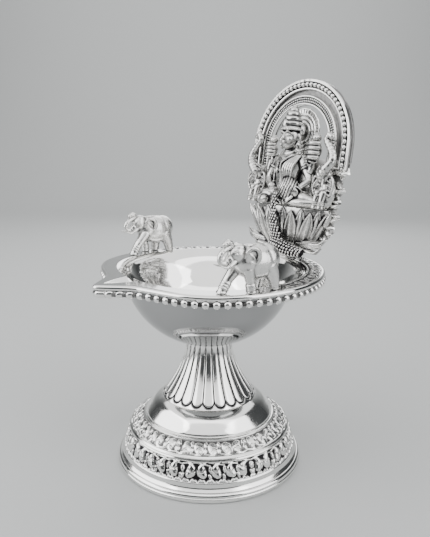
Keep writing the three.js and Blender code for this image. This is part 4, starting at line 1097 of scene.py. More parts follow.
def roll(points, radii, flat=1.0, side=(0, 1, 0), rows=26, columns=16):
    """An oval carried along a smooth line and rounded off at both ends.

    The radii are spread evenly over the line; across the side direction the oval is flat times as thick.
    """
    line = smoothed_line(points, rows)
    radius = smoothed_line(np.asarray(radii, float)[:, None], rows)[:, 0]
    tangent = unit(np.gradient(line, axis=0))
    k = np.sin(np.radians([89, 66, 42, 20]))
    start = line[0] - tangent[0] * (k * radius[0])[:, None]
    finish = line[-1] + tangent[-1] * (k[::-1] * radius[-1])[:, None]
    small = np.sqrt(1 - k ** 2)
    line = np.concatenate([start, line, finish])
    radius = np.concatenate([small * radius[0], radius, small[::-1] * radius[-1]])
    tangent = np.concatenate([np.repeat(tangent[:1], 4, 0), tangent, np.repeat(tangent[-1:], 4, 0)])
    wide = np.array(side, float) - (tangent @ np.array(side, float))[:, None] * tangent
    wide = unit(wide)
    thin = np.cross(tangent, wide)
    a = np.linspace(0, 2 * np.pi, columns, endpoint=False)[None, :, None]
    ring = wide[:, None] * np.cos(a) + flat * thin[:, None] * np.sin(a)
    return sewn(line[:, None] + ring * radius[:, None, None])


def pellet(centre, radii, tilt=(0, 0, 0), rows=22, columns=28, ripple=None):
    """A ball stretched by its radii and tilted by degrees about X, Y and Z.

    ripple = (direction, waves, height) adds height * |sin(waves * angle from the direction)| to the ball.
    """
    down = np.linspace(0.04, np.pi - 0.04, rows)[:, None]
    a = np.linspace(0, 2 * np.pi, columns, endpoint=False)[None, :]
    ball = np.stack([np.sin(down) * np.cos(a), np.sin(down) * np.sin(a), np.cos(down) + 0 * a], -1)
    size = 1.0
    if ripple:
        direction, waves, height = ripple
        angle = np.arccos(np.clip(ball @ unit(np.array(direction, float)), -1, 1))
        size = 1 + (height * (np.abs(np.sin(waves * angle)) - 0.5) / np.mean(radii))[..., None]
    ball = ball * np.array(radii) * size
    for axis, degrees in enumerate(tilt):
        c, s = cos(radians(degrees)), sin(radians(degrees))
        i, j = (axis + 1) % 3, (axis + 2) % 3
        turned_i, turned_j = c * ball[..., i] - s * ball[..., j], s * ball[..., i] + c * ball[..., j]
        ball[..., i], ball[..., j] = turned_i, turned_j
    return sewn(ball + np.array(centre, float))


def stacked(sections, rows=40, columns=48):
    """Level ovals (x, y, z, half width, half depth), joined by a smooth line through all five numbers."""
    s = smoothed_line(sections, rows)
    a = np.linspace(0, 2 * np.pi, columns, endpoint=False)[None, :]
    return sewn(np.stack([s[:, :1] + s[:, 3:4] * np.cos(a), s[:, 1:2] + s[:, 4:5] * np.sin(a), s[:, 2:3] + 0 * a], -1))


def string_of_beads(points, radius, pitch=None):
    """Round beads strung along a smooth line, a diameter apart or at the given pitch."""
    line = smoothed_line(points, 120)
    length = np.linalg.norm(np.diff(line, axis=0), axis=1).sum()
    count = max(int(length / (pitch or 1.9 * radius)), 2)
    centres = along(line, count)
    return [pellet(c, (radius,) * 3, rows=8, columns=10) for c in centres]


def bangle(centre, direction, radius, thickness):
    """A ring round a limb: a small circle carried round a large one that stands across the direction."""
    direction = unit(np.array(direction, float))
    first = unit(np.cross(direction, [0.31, 0.22, 0.92]))
    second = np.cross(direction, first)
    a = np.linspace(0, 2 * np.pi, 28, endpoint=False)[:, None, None]
    b = np.linspace(0, 2 * np.pi, 8, endpoint=False)[None, :, None]
    out = np.cos(a) * first + np.sin(a) * second
    ring = np.array(centre, float) + out * (radius + thickness * np.cos(b)) + direction * thickness * np.sin(b)
    return sewn(ring, loop=True)


# %% Melting them into one casting
def neighbour_mean(values, edges, count):
    """The mean of each point's neighbours, summed over the edges with bincount."""
    near, far = edges[:, 0], edges[:, 1]
    total = [np.bincount(near, values[far, n], count) + np.bincount(far, values[near, n], count) for n in range(3)]
    degree = np.bincount(near, minlength=count) + np.bincount(far, minlength=count)
    return np.stack(total, -1) / np.maximum(degree, 1)[:, None]


def melted(name, skins, voxel, place, passes=2, depth=0.13, keep=None):
    """One skin from many: placed, remeshed at the voxel size in millimetres, smoothed, and its recesses found."""
    points, quads, fans = gathered(skins)
    rough = new_object(name + "_wax", place(points), quads, fans)
    melt = rough.modifiers.new("melt", "REMESH")
    melt.mode, melt.voxel_size = "VOXEL", voxel / 1000
    mesh = bpy.data.meshes.new_from_object(rough.evaluated_get(bpy.context.evaluated_depsgraph_get()))
    bpy.data.objects.remove(rough)
    mesh.name = name
    count = len(mesh.vertices)
    p = np.empty(count * 3)
    mesh.vertices.foreach_get("co", p)
    p = p.reshape(-1, 3) * 1000
    edges = np.empty(len(mesh.edges) * 2, int)
    mesh.edges.foreach_get("vertices", edges)
    edges = edges.reshape(-1, 2)
    for _ in range(passes):
        p = p + 0.5 * (neighbour_mean(p, edges, count) - p)
    if keep:
        p = keep(p)
    mesh.vertices.foreach_set("co", (p / 1000).ravel())
    mesh.update()
    normals = np.empty(count * 3)
    mesh.vertex_normals.foreach_get("vector", normals)
    normals = normals.reshape(-1, 3)
    blurred, hollow = p, np.zeros(count)
    for step in range(28):
        blurred = blurred + 0.6 * (neighbour_mean(blurred, edges, count) - blurred)
        if step in (5, 27):
            hollow = np.maximum(hollow, ((blurred - p) * normals).sum(1) / (depth * (0.6 if step == 5 else 1.7)))
    mesh.shade_smooth()
    thing = bpy.data.objects.new(name, mesh)
    bpy.context.scene.collection.objects.link(thing)
    set_recess(thing, hollow)
    return thing


print("a roll has", len(roll([(0, 0, 0), (0, 0, 5)], [1, 1])[0]), "points")

# %% [markdown]
# The goddess sits cross-legged. Two raised hands hold lotus buds, one lower hand pours coins and the
# other rests open over the knee. Her crown is stepped, her dress is pleated over the knee, and her
# jewellery is strings of round beads. The face is calm and plain, on ordinary proportions.

# %% Head and crown
def head_and_crown():
    """A long ball for the head, small pellets for its features, and a turned crown of six tiers."""
    y, z = -6.1, head_height
    skins = [pellet((0, y, z), (3.8, 4.0, 4.6)), pellet((0, y - 1.2, z - 2.9), (2.2, 2.2, 1.7)),
             roll([(0, y, z - 2), (0, y + 0.4, z - 6.4)], [1.9, 2.1]),
             roll([(0, y - 3.75, z + 0.9), (0, y - 4.5, z - 0.85)], [0.38, 0.60])]
    for side in (1, -1):
        skins += [pellet((1.45 * side, y - 3.4, z + 0.45), (0.95, 0.50, 0.46), (0, 4 * side, 0)),
                  roll([(0.55 * side, y - 3.95, z + 1.3), (1.6 * side, y - 3.8, z + 1.7),
                        (2.7 * side, y - 3.0, z + 1.2)], [0.18, 0.24, 0.13]),
                  pellet((1.85 * side, y - 2.6, z - 1.2), (1.3, 1.15, 1.4)),
                  pellet((3.8 * side, y + 0.4, z - 0.1), (0.6, 1.1, 1.9)),
                  pellet((4.1 * side, y + 0.1, z - 3.0), (0.8, 1.1, 1.1)),
                  bangle((4.2 * side, y + 0.1, z - 3.0), (1, 0, 0), 1.1, 0.27),
                  pellet((4.3 * side, y + 1.0, z + 2.6), (1.0, 1.2, 1.8))]
    skins += [pellet((0, y - 3.95, z - 1.95), (0.85, 0.40, 0.22)), pellet((0, y - 3.85, z - 2.4), (0.68, 0.40, 0.27))]
    tiers = [(0.02, 0), (4.1, 0), (4.5, 0.35), (4.5, 1.1), (4.0, 1.4), (3.9, 1.8), (4.1, 2.2), (4.05, 3.0), (3.5, 3.3),
             (3.3, 3.7), (3.5, 4.1), (3.4, 4.9), (2.85, 5.2), (2.65, 5.6), (2.8, 6.0), (2.6, 6.7), (2.0, 7.0),
             (1.8, 7.4), (1.9, 7.8), (1.5, 8.4), (0.9, 8.7), (0.8, 8.9), (1.0, 9.2), (0.6, 9.6), (0.02, 9.8)]
    crown = spun(softened(np.array(tiers, float), 0.16, 3, closed=False), 48)
    skins.append(sewn(crown + [0, y, z + 2.2]))
    band = np.linspace(-0.2, np.pi + 0.2, 13)
    skins += string_of_beads(np.stack([4.5 * np.cos(band), y - 4.5 * np.sin(band), z + 2.5 + 0 * band], -1), 0.38)
    skins.append(pellet((0, y - 4.0, z + 4.4), (1.2, 0.7, 1.6)))
    return skins


# %% Body, arms and legs
def torso():
    """Level ovals from lap to shoulders, a mantle behind, breasts, and a pleated lap."""
    skins = [stacked([(0, -5.4, 18.6, 7.4, 4.6), (0, -5.3, 22.1, 6.8, 4.5), (0, -5.1, 27.2, 5.2, 3.7),
                      (0, -5.3, 32.1, 6.2, 4.0), (0, -5.0, 35.9, 7.2, 3.2), (0, -5.2, 38.2, 3.2, 2.3)]),
             stacked([(0, -3.0, 18.6, 12.0, 2.2), (0, -3.0, 27.5, 11.4, 2.2), (0, -3.0, 35.6, 8.6, 2.0)]),
             pellet((5.2, -9.2, 24.4), (4.3, 3.5, 4.3), (0, 0, -12), rows=60, columns=60,
                    ripple=((0.55, 0.75, -0.35), 12, 0.7)),
             pellet((0, -6.6, 20.6), (6.0, 3.6, 2.6))]
    skins += [pellet((2.4 * side, -7.7, 32.6), (2.0, 1.8, 1.9)) for side in (1, -1)]
    return skins


def jewellery():
    """Drape folds over the shoulder, bead garlands, a pendant, belt and necklaces."""
    skins = []
    for k in range(5):
        skins.append(roll([(6.9 - 0.4 * k, -6.9 - 0.1 * k, 36.9), (6.0 - 1.05 * k, -9.3 - 0.12 * k, 32.8),
                           (4.8 - 0.8 * k, -8.9 - 0.1 * k, 27.6)], [0.36, 0.55, 0.4], columns=10))
    skins += string_of_beads([(3.0, -7.4, 37.0), (-0.2, -9.5, 33.6), (-0.6, -8.2, 27.6)], 0.42)
    skins += string_of_beads([(-4.6, -6.0, 37.2), (-4.6, -8.0, 33.0), (-4.0, -8.3, 25.0)], 0.34)
    skins += string_of_beads([(-4.4, -5.6, 38.2), (-2.6, -7.5, 36.3), (0, -8.3, 35.6), (2.6, -7.5, 36.3),
                              (4.4, -5.6, 38.2)], 0.36)
    skins += string_of_beads([(-3.2, -6.2, 38.8), (0, -7.8, 37.4), (3.2, -6.2, 38.8)], 0.34)
    skins += [pellet((-1.9, -9.7, 31.0), (0.75, 0.45, 1.05)),
              roll([(-1.9, -9.4, 34.6), (-1.9, -9.8, 31.8)], [0.18, 0.18], columns=8)]
    belt = np.linspace(-0.1, np.pi + 0.1, 15)
    skins += string_of_beads(np.stack([4.6 * np.cos(belt), -4.8 - 3.5 * np.sin(belt), 26.6 + 0 * belt], -1), 0.4)
    skins += string_of_beads([(3.4, -10.6, 26.6), (6.4, -11.7, 24.9), (8.6, -10.9, 22.6)], 0.34)
    return skins


def raised_arm(side, elbow_x, hand_x, size):
    """Upper arm, forearm, a closed hand with four finger rolls across it, and a lotus bud with six petals."""
    hand = np.array((hand_x * side, -5.8, 38.9))
    skins = [roll([(6.0 * side, -4.9, 35.8), (elbow_x * side, -5.2, 31.4), (0.96 * hand_x * side, -5.6, 36.4)],
                  [1.75, 1.35, 1.15]),
             pellet(hand, (2.0 * size, 1.8, 2.1 * size)),
             bangle(hand - (0.2 * side, 0, 2.5 * size), (0.2 * side, 0, 1), 1.5, 0.32),
             bangle((0.8 * elbow_x * side, -5.0, 33.6), (1.0 * side, 0, -1), 1.6, 0.3)]
    for k in range(4):
        z = hand[2] + (1.05 * k - 1.6) * size
        skins.append(roll([(hand[0] - 1.8 * size, -6.8, z), (hand[0], -8.0, z), (hand[0] + 1.8 * size, -6.8, z)],
                          [0.44 * size, 0.48 * size, 0.44 * size], columns=10))
    thumb = [(hand[0] - 1.3 * side, -6.9, 36.6), (hand[0] - 1.9 * side, -7.2, 34.9), (hand[0] - 1.0 * side, -6.8, 33.4)]
    skins.append(roll(thumb, [0.5, 0.45, 0.3]))
    bud = hand + (0, 0.3, 2.1 * size + 1.2)
    skins.append(pellet(bud, (1.5, 1.4, 1.7)))
    for k in range(6):
        a = 2 * np.pi * (k + 0.5) / 6
        lean = np.array((np.cos(a) * 1.3, np.sin(a) * 1.2, 0))
        skins.append(roll([bud + 0.6 * lean - (0, 0, 1.6), bud + 1.15 * lean, bud + 0.45 * lean + (0, 0, 1.9)],
                          [0.5, 0.72, 0.2], flat=0.5, side=(-np.sin(a), np.cos(a), 0), columns=10))
    return skins


def lower_arms():
    """The giving arm across the lap with its palm turned up, and the open hand that hangs over the knee."""
    skins = [roll([(-6.0, -5.4, 35.3), (-8.9, -6.2, 28.2), (-2.6, -10.4, 24.9)], [1.7, 1.4, 1.0]),
             pellet((-0.9, -11.3, 24.0), (1.7, 1.5, 0.85), (20, 12, 0)),
             bangle((-3.1, -10.1, 25.1), (0.8, -0.5, -0.4), 1.15, 0.28),
             bangle((-7.0, -5.8, 32.6), (0.4, 0.1, 1), 1.65, 0.28)]
    for k in range(4):
        skins.append(roll([(-1.6 + 0.75 * k, -12.2, 23.9), (-1.2 + 0.75 * k, -12.9, 23.2),
                           (-1.0 + 0.7 * k, -12.9, 22.5)], [0.42, 0.38, 0.28], columns=10))
    skins += [roll([(6.2, -5.4, 35.3), (10.9, -5.6, 29.0), (10.3, -8.8, 25.4)], [1.7, 1.4, 1.0]),
              pellet((9.0, -10.1, 23.5), (1.6, 0.85, 1.7), (12, 32, 20)),
              bangle((10.2, -9.2, 25.0), (-0.3, -0.5, -0.9), 1.15, 0.28),
              bangle((8.6, -5.5, 32.4), (0.7, 0, -1), 1.65, 0.28)]
    for k in range(4):
        skins.append(roll([(8.1 + 0.25 * k, -10.8, 23.0 - 0.45 * k), (6.6 + 0.35 * k, -11.4, 22.3 - 0.6 * k),
                           (5.4 + 0.5 * k, -11.5, 21.3 - 0.55 * k)], [0.46, 0.4, 0.28], columns=10))
    skins.append(roll([(8.0, -10.6, 24.2), (6.8, -11.4, 24.3), (5.9, -11.8, 23.8)], [0.45, 0.4, 0.28], columns=10))
    return skins


def folded_legs():
    """Thighs out to the knees, shins back to the middle, feet with soles turned up, anklets and cloth folds."""
    skins = [roll([(2.5, -5.5, 21.6), (9.0, -7.0, 21.9), (15.2, -5.6, 20.6)], [3.0, 2.7, 1.7]),
             roll([(15.2, -6.0, 20.2), (10.0, -8.8, 20.0), (3.4, -10.2, 19.9)], [1.6, 1.55, 1.1]),
             roll([(3.0, -10.4, 19.2), (1.8, -11.1, 20.2), (1.2, -11.3, 22.0)], [1.0, 0.9, 0.45]),
             roll([(-2.5, -5.5, 21.6), (-8.8, -6.8, 21.7), (-13.2, -5.4, 20.6)], [3.0, 2.6, 1.7]),
             roll([(-13.0, -5.9, 20.2), (-10.0, -8.4, 20.0), (-7.2, -9.6, 19.9)], [1.7, 1.6, 1.5]),
             pellet((-6.6, -9.9, 20.0), (1.9, 1.7, 1.6)),
             bangle((4.6, -10.0, 19.9), (1, 0.2, 0), 1.25, 0.28), bangle((-8.6, -9.0, 20.0), (1, -0.4, 0), 1.65, 0.28)]
    for k in range(4):
        skins.append(roll([(8.6 + 1.6 * k, -8.9 + 0.9 * k, 21.9 - 0.2 * k), (9.4 + 1.6 * k, -9.6 + 0.9 * k, 20.6),
                           (9.6 + 1.6 * k, -9.0 + 0.9 * k, 19.2)], [0.3, 0.34, 0.25], columns=8))
    return skins


figure_floor = 18.5


def cut_flat(points, lowest=None, behind=None):
    """Presses points that reach past a level or past the plate's face back on to it, as a file would."""
    local = points - plate_seat - axis_place
    y = local[:, 1] * cos(plate_lean) - local[:, 2] * sin(plate_lean)
    z = local[:, 1] * sin(plate_lean) + local[:, 2] * cos(plate_lean)
    if lowest is not None:
        z = np.maximum(z, lowest)
    if behind is not None:
        y = np.minimum(y, behind)
    return on_plate(np.stack([local[:, 0], y, z], -1))


casting_back = plate_front - 0.3
skins = head_and_crown() + torso() + jewellery() + lower_arms() + folded_legs()
skins += raised_arm(1, 10.8, 12.2, 1.6) + raised_arm(-1, 10.2, 9.6, 1.25)
goddess = melted("goddess_seated", skins, 0.25, on_plate, passes=1, depth=0.14,
                 keep=lambda p: cut_flat(p, figure_floor, casting_back))

# Fingers have rubbed the face bright: its recess values fall by 0.8 exp(-(d / 3.4)^2), d from the face's middle
count = len(goddess.data.vertices)
place, hollow = np.empty(count * 3), np.empty(count)
goddess.data.vertices.foreach_get("co", place)
goddess.data.attributes["recess"].data.foreach_get("value", hollow)
distance = np.linalg.norm(place.reshape(-1, 3) * 1000 - on_plate(np.array([0, -8.8, head_height - 0.4])), axis=1)
rubbed = hollow * (1 - 0.8 * np.exp(-(distance / 3.4) ** 2))
goddess.data.attributes["recess"].data.foreach_set("value", rubbed.astype(np.float32))
fit_to_lamp(goddess, "seated_figure", cast_silver)

# %% [markdown]
# The lotus is half a flower set against the plate. A petal is a long blade that stands on the flower's
# side: wide and hollow low down, pointed and bent outwards at its tip, with a raised crease up its
# middle and a raised edge. Two rings of petals overlap, and two sepals curl out at either end.

# %% Lotus seat
lotus_floor, seat_height, seat_width, seat_reach, petal_rise = 2.3, 18.2, 20.5, 11.4, 1.6


def lotus_size(height):
    """Half width and reach of the flower's body: each is its largest size times sin of (0.36 + 0.64 t) 90 degrees."""
    t = np.clip((height - lotus_floor) / (seat_height - lotus_floor), 0, 1)
    swell = np.sin(0.5 * np.pi * (0.36 + 0.64 * t))
    return seat_width * swell - petal_rise, seat_reach * swell - petal_rise


def petal(turn, foot, tip, half_width, out, curl=0.8, thick=1.5, rows=44, columns=23):
    """A blade on the flower's side, turn degrees round from +X: its half width is w (1 - t^2.6) (0.6 + 0.8 t).

    Its face stands out by out + hollow + crease + edge + curl t^5; the back lies the thickness behind it.
    """
    t, c = np.linspace(0, 1, rows)[:, None], np.linspace(-1, 1, columns)[None, :]
    width = half_width * np.maximum(1 - t ** 2.6, 0.02) * (0.6 + 0.8 * t)
    height = foot + (tip - foot) * t + 0 * c
    wide, deep = lotus_size(height)
    theta = radians(turn) + c * width / np.hypot(wide * sin(radians(turn)), deep * cos(radians(turn)))
    crease = 0.70 * np.exp(-(c / 0.25) ** 2) * np.sin(np.pi * np.clip(0.95 * t + 0.08, 0, 1))
    edge = 0.34 * np.exp(-((np.abs(c) - 0.84) / 0.13) ** 2)
    belly = 0.75 * (1 - c ** 2) * np.sin(np.pi * np.clip(t * 0.9 + 0.1, 0, 1))
    face = out + belly + crease + edge + curl * t ** 5
    blade = [np.stack([(wide + o) * np.cos(theta), -(deep + o) * np.sin(theta), height], -1)
             for o in (face, face - thick + 0.5 * t)]
    return sewn(np.concatenate([blade[0], blade[1][:, ::-1]], 1))


levels = np.linspace(lotus_floor, seat_height, 12)
sizes = np.stack([0 * levels, 0 * levels, levels, *lotus_size(levels)], -1)
skins = [stacked(sizes, 30, 90)]
skins += [petal(turn, 4.0, 17.9, 3.0 * (0.5 + 0.5 * sin(radians(turn))), -0.2, 0.6) for turn in np.linspace(27, 153, 6)]
skins += [petal(turn, 2.3, 16.9, 3.3 * (0.45 + 0.55 * sin(radians(turn))), 0.4, 1.0 + 1.0 * (turn > 130))
          for turn in np.linspace(15, 165, 7)]
for side in (1, -1):
    for k, (start, reach, rise, fat) in enumerate([(9.0, 20.4 + 2 * side, 6.9, 1.5), (7.0, 17.6 + 3 * side, 3.6, 1.25)]):
        path = [(start * side, -4.4, rise - 2.0 + k), (0.5 * (start + reach) * side, -5.4, rise - 1.3 + 0.6 * k),
                ((reach - 2.6) * side, -5.2, rise - 0.9), (reach * side, -4.7, rise + 1.1)]
        skins.append(roll(path, [fat, 1.15 * fat, 0.9 * fat, 0.35], flat=0.6, side=(0, 0.5, 1)))
        lifted = [(x, y - 0.95 * fat * 0.6, z + 0.1) for x, y, z in path]
        skins.append(roll(lifted, [0.3, 0.42, 0.36, 0.15]))
    skins.append(roll([(19.2 * side, -2.6, 13.0), (20.6 * side, -3.0, 15.6), (21.4 * side, -3.2, 17.4)], [0.9, 0.8, 0.35]))
cut_seat = lambda p: np.stack([p[..., 0], np.minimum(p[..., 1], casting_back),
                               np.clip(p[..., 2], lotus_floor, seat_height)], -1)
skins = [(cut_seat(p), q, f) for p, q, f in skins]
lotus = melted("lotus_petals", skins, 0.2, on_plate, passes=2, depth=0.17)
fit_to_lamp(lotus, "lotus_seat", cast_silver)

# %% [markdown]
# The coins are small round pellets. They fall from the hand over the lotus in a widening cascade and end
# in a heap of slanting rows at its foot. Each pellet sits half sunk in a blackened core, and its own
# recess value is 0 on the open side and 1 where it turns away, so a dark gap is left round every coin.

# %% Coins
coin, coin_pitch = 0.56, 1.14
heap_step, heap_slant = 4.7, 1.4
coin_skins, coin_recess = [], []


def add_skin(skin, values):
    """Keeps a skin and the recess values of its points."""
    coin_skins.append(skin)
    coin_recess.append(np.broadcast_to(values, len(skin[0])))


def add_coin(centre, out):
    """One pellet; with f the cosine of a point's direction to out, its recess is 1 - smooth_step((f - 0.2) / 0.4)."""
    skin = pellet(centre, (coin,) * 3, rows=9, columns=14)
    facing = unit(skin[0] - centre) @ unit(np.array(out, float))
    add_skin(skin, 1 - smooth_step((facing - 0.2) / 0.4))


cascade = np.arange(seat_height + 4.2, 3.0, -0.9 * coin_pitch)
share = (cascade[0] - cascade) / (cascade[0] - cascade[-1])
half_cascade = 0.5 + 2.5 * share ** 1.7
cascade_x = 2.4 - 0.5 * share + 0.1 * np.sin(5.1 * cascade)
cascade_y = -(lotus_size(np.minimum(cascade, seat_height))[1] + 3.2)
core_line = np.stack([cascade_x, cascade_y + 0.35, cascade], -1)
add_skin(roll(core_line[::3], half_cascade[::3], flat=0.22, side=(1, 0, 0)), 1.0)
for n, height in enumerate(cascade):
    count = int(round(2 * half_cascade[n] / coin_pitch)) + 1
    for offset in np.linspace(-half_cascade[n], half_cascade[n], count) + 0.25 * (-1) ** n:
        add_coin(np.array([cascade_x[n] + offset, cascade_y[n] + 0.09 * offset ** 2, height]), (0.12 * offset, -1, 0.2))
heap_line = smoothed_line([(0.2, -9.0, 3.8), (4.6, -8.9, 3.0), (9.2, -8.2, 2.2), (13.4, -6.6, 2.0)], 60)
heap_size = np.interp(np.arange(60), [0, 20, 40, 59], [2.2, 2.6, 2.2, 1.2])
add_skin(roll(heap_line[:56], heap_size[:56:12] - 0.3, rows=40), 1.0)
for row, tilt in enumerate(range(-36, 122, 26)):
    out = np.array([0, -cos(radians(tilt)), sin(radians(tilt))])
    for station in np.clip(np.arange(0, 60, heap_step) + heap_slant * row, 0, 59).astype(int):
        add_coin(heap_line[station] + out * heap_size[station], out)
points, quads, fans = gathered(coin_skins)
coins = new_object("coins_poured", on_plate(points), quads, fans)
set_recess(coins, np.concatenate(coin_recess))
fit_to_lamp(coins, "coin_stream", cast_silver)

# %% [markdown]
# An elephant stands at either hand of the goddess with its trunk raised in an S to the arch. Ears are
# thin curved flaps with ribs, and the trunk is ringed: its size swells and shrinks all the way along.

# %% Attendant elephants
def ringed(points, radii, rings, depth=0.07, **shape):
    """A roll whose radius swings by a share of itself, once per ring, on top of its taper."""
    t = np.linspace(0, 1, 6 * rings + 1)
    taper = np.interp(t, np.linspace(0, 1, len(radii)), radii)
    return roll(points, taper * (1 + depth * np.cos(2 * np.pi * rings * t)), rows=8 * rings, **shape)


def attendant(side):
    """Body, head, ribbed ears, forelegs with anklets, tusks and the ringed trunk."""
    base = seat_height + 0.3
    at = lambda x, y, z: (side * x, y, base + z)
    skins = [pellet(at(17.6, -3.0, 6.0), (3.8, 3.0, 5.4)), pellet(at(17.0, -3.2, 2.8), (3.6, 2.8, 3.0)),
             pellet(at(17.2, -4.4, 12.0), (2.9, 2.8, 3.1)), pellet(at(16.3, -5.2, 13.6), (1.2, 1.4, 1.4)),
             pellet(at(18.2, -5.2, 13.6), (1.2, 1.4, 1.4)), pellet(at(17.4, -6.2, 10.6), (1.3, 1.2, 1.4))]
    for x, lean in ((20.4, 1), (14.6, -1)):
        skins += [pellet(at(x, -4.6, 8.4), (1.9, 0.5, 3.7), (0, -8 * lean * side, 0)),
                  roll([at(x - 1.2 * lean, -5.0, 11.6), at(x + 1.0 * lean, -5.2, 11.4), at(x + 1.9 * lean, -5.1, 8.8),
                        at(x + 1.1 * lean, -5.0, 5.6), at(x - 0.3 * lean, -4.9, 4.4)], [0.3, 0.4, 0.42, 0.36, 0.25])]
        skins += [roll([at(x - 0.9 * lean, -5.15, 10.2 - 1.5 * k), at(x + 1.0 * lean, -5.2, 9.4 - 1.5 * k)], [0.2, 0.14])
                  for k in range(4)]
    for x in (15.9, 18.6):
        skins.append(roll([at(x, -5.2, 5.6), at(x, -6.0, 2.6), at(x, -6.2, 0.2)], [1.5, 1.1, 1.3]))
        skins += [bangle(at(x, -6.1, z), (0, 0, 1), 1.2, 0.24) for z in (1.5, 2.2)]
    skins += [roll([at(16.2, -6.6, 10.2), at(15.6, -7.4, 8.6), at(15.2, -7.4, 7.4)], [0.45, 0.38, 0.18]),
              roll([at(18.7, -6.6, 10.2), at(19.3, -7.4, 8.6), at(19.7, -7.4, 7.4)], [0.45, 0.38, 0.18]),
              ringed([at(17.4, -6.4, 12.0), at(19.2, -6.6, 14.2), at(20.9, -6.0, 16.8), at(20.6, -5.6, 19.4),
                      at(18.8, -5.5, 22.0), at(17.2, -5.5, 24.2), at(18.0, -5.6, 26.0), at(19.2, -5.6, 25.4)],
                     [1.9, 1.7, 1.5, 1.4, 1.3, 1.2, 1.15, 1.05], 15, 0.035)]
    skins += string_of_beads([at(14.6, -6.0, 13.2), at(17.2, -7.2, 14.9), at(19.8, -6.0, 13.2)], 0.34)
    skins += string_of_beads([at(14.4, -5.4, 6.8), at(17.2, -6.8, 4.8), at(20.0, -5.4, 6.8)], 0.4)
    skins += [pellet(at(x, -6.6, 12.3), (0.35, 0.35, 0.28)) for x in (15.9, 18.5)]
    return skins


def clear_of_arch(p):
    """Keeps a casting off the plate's face, and above the arches' feet off their beads."""
    back = np.where(p[..., 2] > 32.4, -4.3, casting_back)
    return np.stack([p[..., 0], np.minimum(p[..., 1], back), np.maximum(p[..., 2], seat_height + 0.3)], -1)


for side, label in ((1, "right"), (-1, "left")):
    skins = [(clear_of_arch(p), q, f) for p, q, f in attendant(side)]
    thing = melted("attendant_" + label, skins, 0.15, on_plate, passes=2, depth=0.14)
    fit_to_lamp(thing, "attendant_elephant_" + label, cast_silver)

# %% [markdown]
# The two elephants on the rim are one pattern cast twice, mirrored, with the legs set differently. They
# walk towards the spout. Their skin keeps the grain of the casting sand.

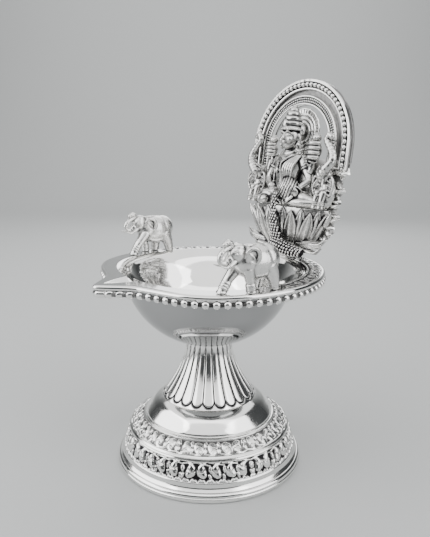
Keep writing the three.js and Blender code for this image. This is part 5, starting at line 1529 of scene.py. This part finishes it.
# %% Elephants on the rim
def walking_elephant(trailing):
    """One elephant in its own axes, head towards -Y, forward foreleg on +X, trailing hind leg on the side given."""
    skins = [pellet((0, 3.6, 9.7), (4.9, 7.2, 6.0)), pellet((0, 6.6, 10.3), (4.5, 4.7, 5.4)),
             pellet((0, -0.8, 10.2), (4.2, 4.1, 5.2)), pellet((0, -3.8, 13.0), (2.7, 3.3, 3.4)),
             pellet((0.95, -3.6, 15.1), (1.25, 1.9, 1.5)), pellet((-0.95, -3.6, 15.1), (1.25, 1.9, 1.5)),
             pellet((0, -5.6, 11.2), (1.7, 1.9, 1.7)), roll([(0, -6.2, 10.0), (0, -7.8, 9.4)], [0.9, 0.45]),
             roll([(0, -1.6, 15.3), (0, 2.0, 15.5), (0, 6.4, 15.1)], [0.7, 0.6, 0.5])]
    for x in (1, -1):
        flap = np.radians(np.array([150, 100, 50, 0, -50, -95, -125]))
        rim = np.stack([x * (3.9 + 0.7 * np.cos(flap - 0.6)), -1.1 + 2.2 * np.cos(flap), 12.6 + 2.7 * np.sin(flap)], -1)
        skins += [pellet((3.7 * x, -1.0, 12.5), (0.5, 2.2, 2.7), (0, 6 * x, 0)),
                  roll(rim, [0.42, 0.62, 0.66, 0.62, 0.5, 0.4, 0.3]),
                  roll([(4.1 * x, -2.2, 13.4), (4.35 * x, -0.9, 12.4), (4.3 * x, -0.4, 11.4)], [0.24, 0.3, 0.16]),
                  roll([(3.3 * x, -1.2, 10.4), (3.4 * x, -1.3, 9.0), (3.3 * x, -1.2, 8.0)], [0.6, 0.5, 0.3]),
                  roll([(1.4 * x, -5.8, 10.9), (2.0 * x, -8.6, 9.5), (2.1 * x, -10.9, 10.1)], [0.8, 0.55, 0.24]),
                  pellet((2.2 * x, -5.6, 13.5), (0.4, 0.55, 0.36)),
                  roll([(2.1 * x, -6.4, 14.2), (2.4 * x, -5.2, 14.4)], [0.2, 0.24]),
                  bangle((1.95 * x, -8.2, 9.6), (0.1 * x, -1, -0.3), 0.66, 0.14)]
    legs = [((1.8, -2.2, 8.6), (2.1, -5.6, 4.6), (2.1, -8.0, 0.6), [2.3, 1.7, 1.45]),
            ((-1.9, -1.4, 8.0), (-2.1, -0.6, 4.0), (-2.2, 0.0, 0.6), [2.1, 1.5, 1.45]),
            ((1.6 * trailing, 6.2, 8.2), (2.1 * trailing, 7.8, 4.6), (2.2 * trailing, 8.8, 0.6), [3.3, 2.3, 1.6]),
            ((-1.7 * trailing, 5.0, 8.0), (-2.1 * trailing, 4.8, 4.4), (-2.2 * trailing, 4.4, 0.6), [3.1, 2.1, 1.6])]
    for hip, knee, foot, sizes in legs:
        hip, knee, foot = map(np.array, (hip, knee, foot))
        skins.append(roll([hip, knee, foot], sizes))
        shin = unit(foot - knee)
        skins += [bangle(knee + (foot - knee) * s, shin, 1.5, 0.3) for s in (0.34, 0.54, 0.74)]
        skins += [pellet(foot + [side, -1.15 + 0.25 * abs(side), -0.1], (0.5, 0.6, 0.55)) for side in (-0.85, 0, 0.85)]
        skins.append(pellet(foot + [0, 0, -0.2], (1.65, 1.75, 0.7)))
    skins.append(ringed([(0, -5.4, 12.4), (0, -8.2, 10.6), (0, -9.8, 10.9), (0, -10.1, 12.5), (0, -9.1, 14.3),
                         (0, -7.3, 15.3), (0, -6.2, 16.3), (0, -7.1, 17.2), (0, -8.4, 16.5)],
                        [1.9, 1.15, 0.9, 0.86, 0.88, 0.9, 0.95, 1.0, 0.8], 17, 0.05))
    skins += [roll([(0, 9.8, 12.6), (0, 11.0, 10.2), (0, 10.7, 6.8)], [0.65, 0.48, 0.4]),
              pellet((0, 10.5, 6.0), (0.6, 0.7, 1.2))]
    return skins


pattern_width, pattern_tall, sole_gap = 0.96, 0.88, 0.1
for label, side, around_spout, reach, turned_in, trailing in (("right", 1, 71, 36.2, 4, -1),
                                                              ("left", -1, 85, 35.6, 0, 1)):
    outwards = np.array([side * sin(radians(around_spout)), -cos(radians(around_spout)), 0])
    stand_on = reach * outwards + [0, 0, rim_top + sole_gap]

    def stood(p):
        """Mirrors the pattern so that its forward foreleg is inside, turns its head in and stands it on the rim."""
        x, y, z = -pattern_width * side * p[..., 0], pattern_width * p[..., 1], pattern_tall * np.maximum(p[..., 2], 0)
        c, s = cos(radians(-side * turned_in)), sin(radians(-side * turned_in))
        return on_axis(np.stack([x * c - y * s, x * s + y * c, z], -1) + stand_on)

    thing = melted("rim_elephant_" + label, walking_elephant(trailing), 0.17, stood, passes=3, depth=0.17)
    fit_to_lamp(thing, "elephant_" + label, pitted_silver)

# %% [markdown]
# The plate stands on a small block soldered to the rim. It is filed by hand: its edges are soft and its
# sides swell a little.

# %% Plate foot
foot_section = softened([(-4.7, 0.1), (1.1, 0.1), (1.1, 2.0), (-4.7, 2.0)], 0.35, 6)
stations = np.linspace(-8, 8, 60)
swell = 1 - 0.16 * np.clip((np.abs(stations) - 7.4) / 0.6, 0, 1) ** 2
middle = np.array([-1.8, 1.05])
block = middle + (foot_section - middle) * swell[:, None, None]
foot_grid = np.concatenate([np.broadcast_to(stations[:, None, None], (*block.shape[:2], 1)), block], -1)
plate_foot = new_object("plate_foot_block", *sewn(on_axis(foot_grid + [0, 38.3, rim_top])), smooth_angle=50)
fit_to_lamp(plate_foot, "plate_foot", chased_silver)
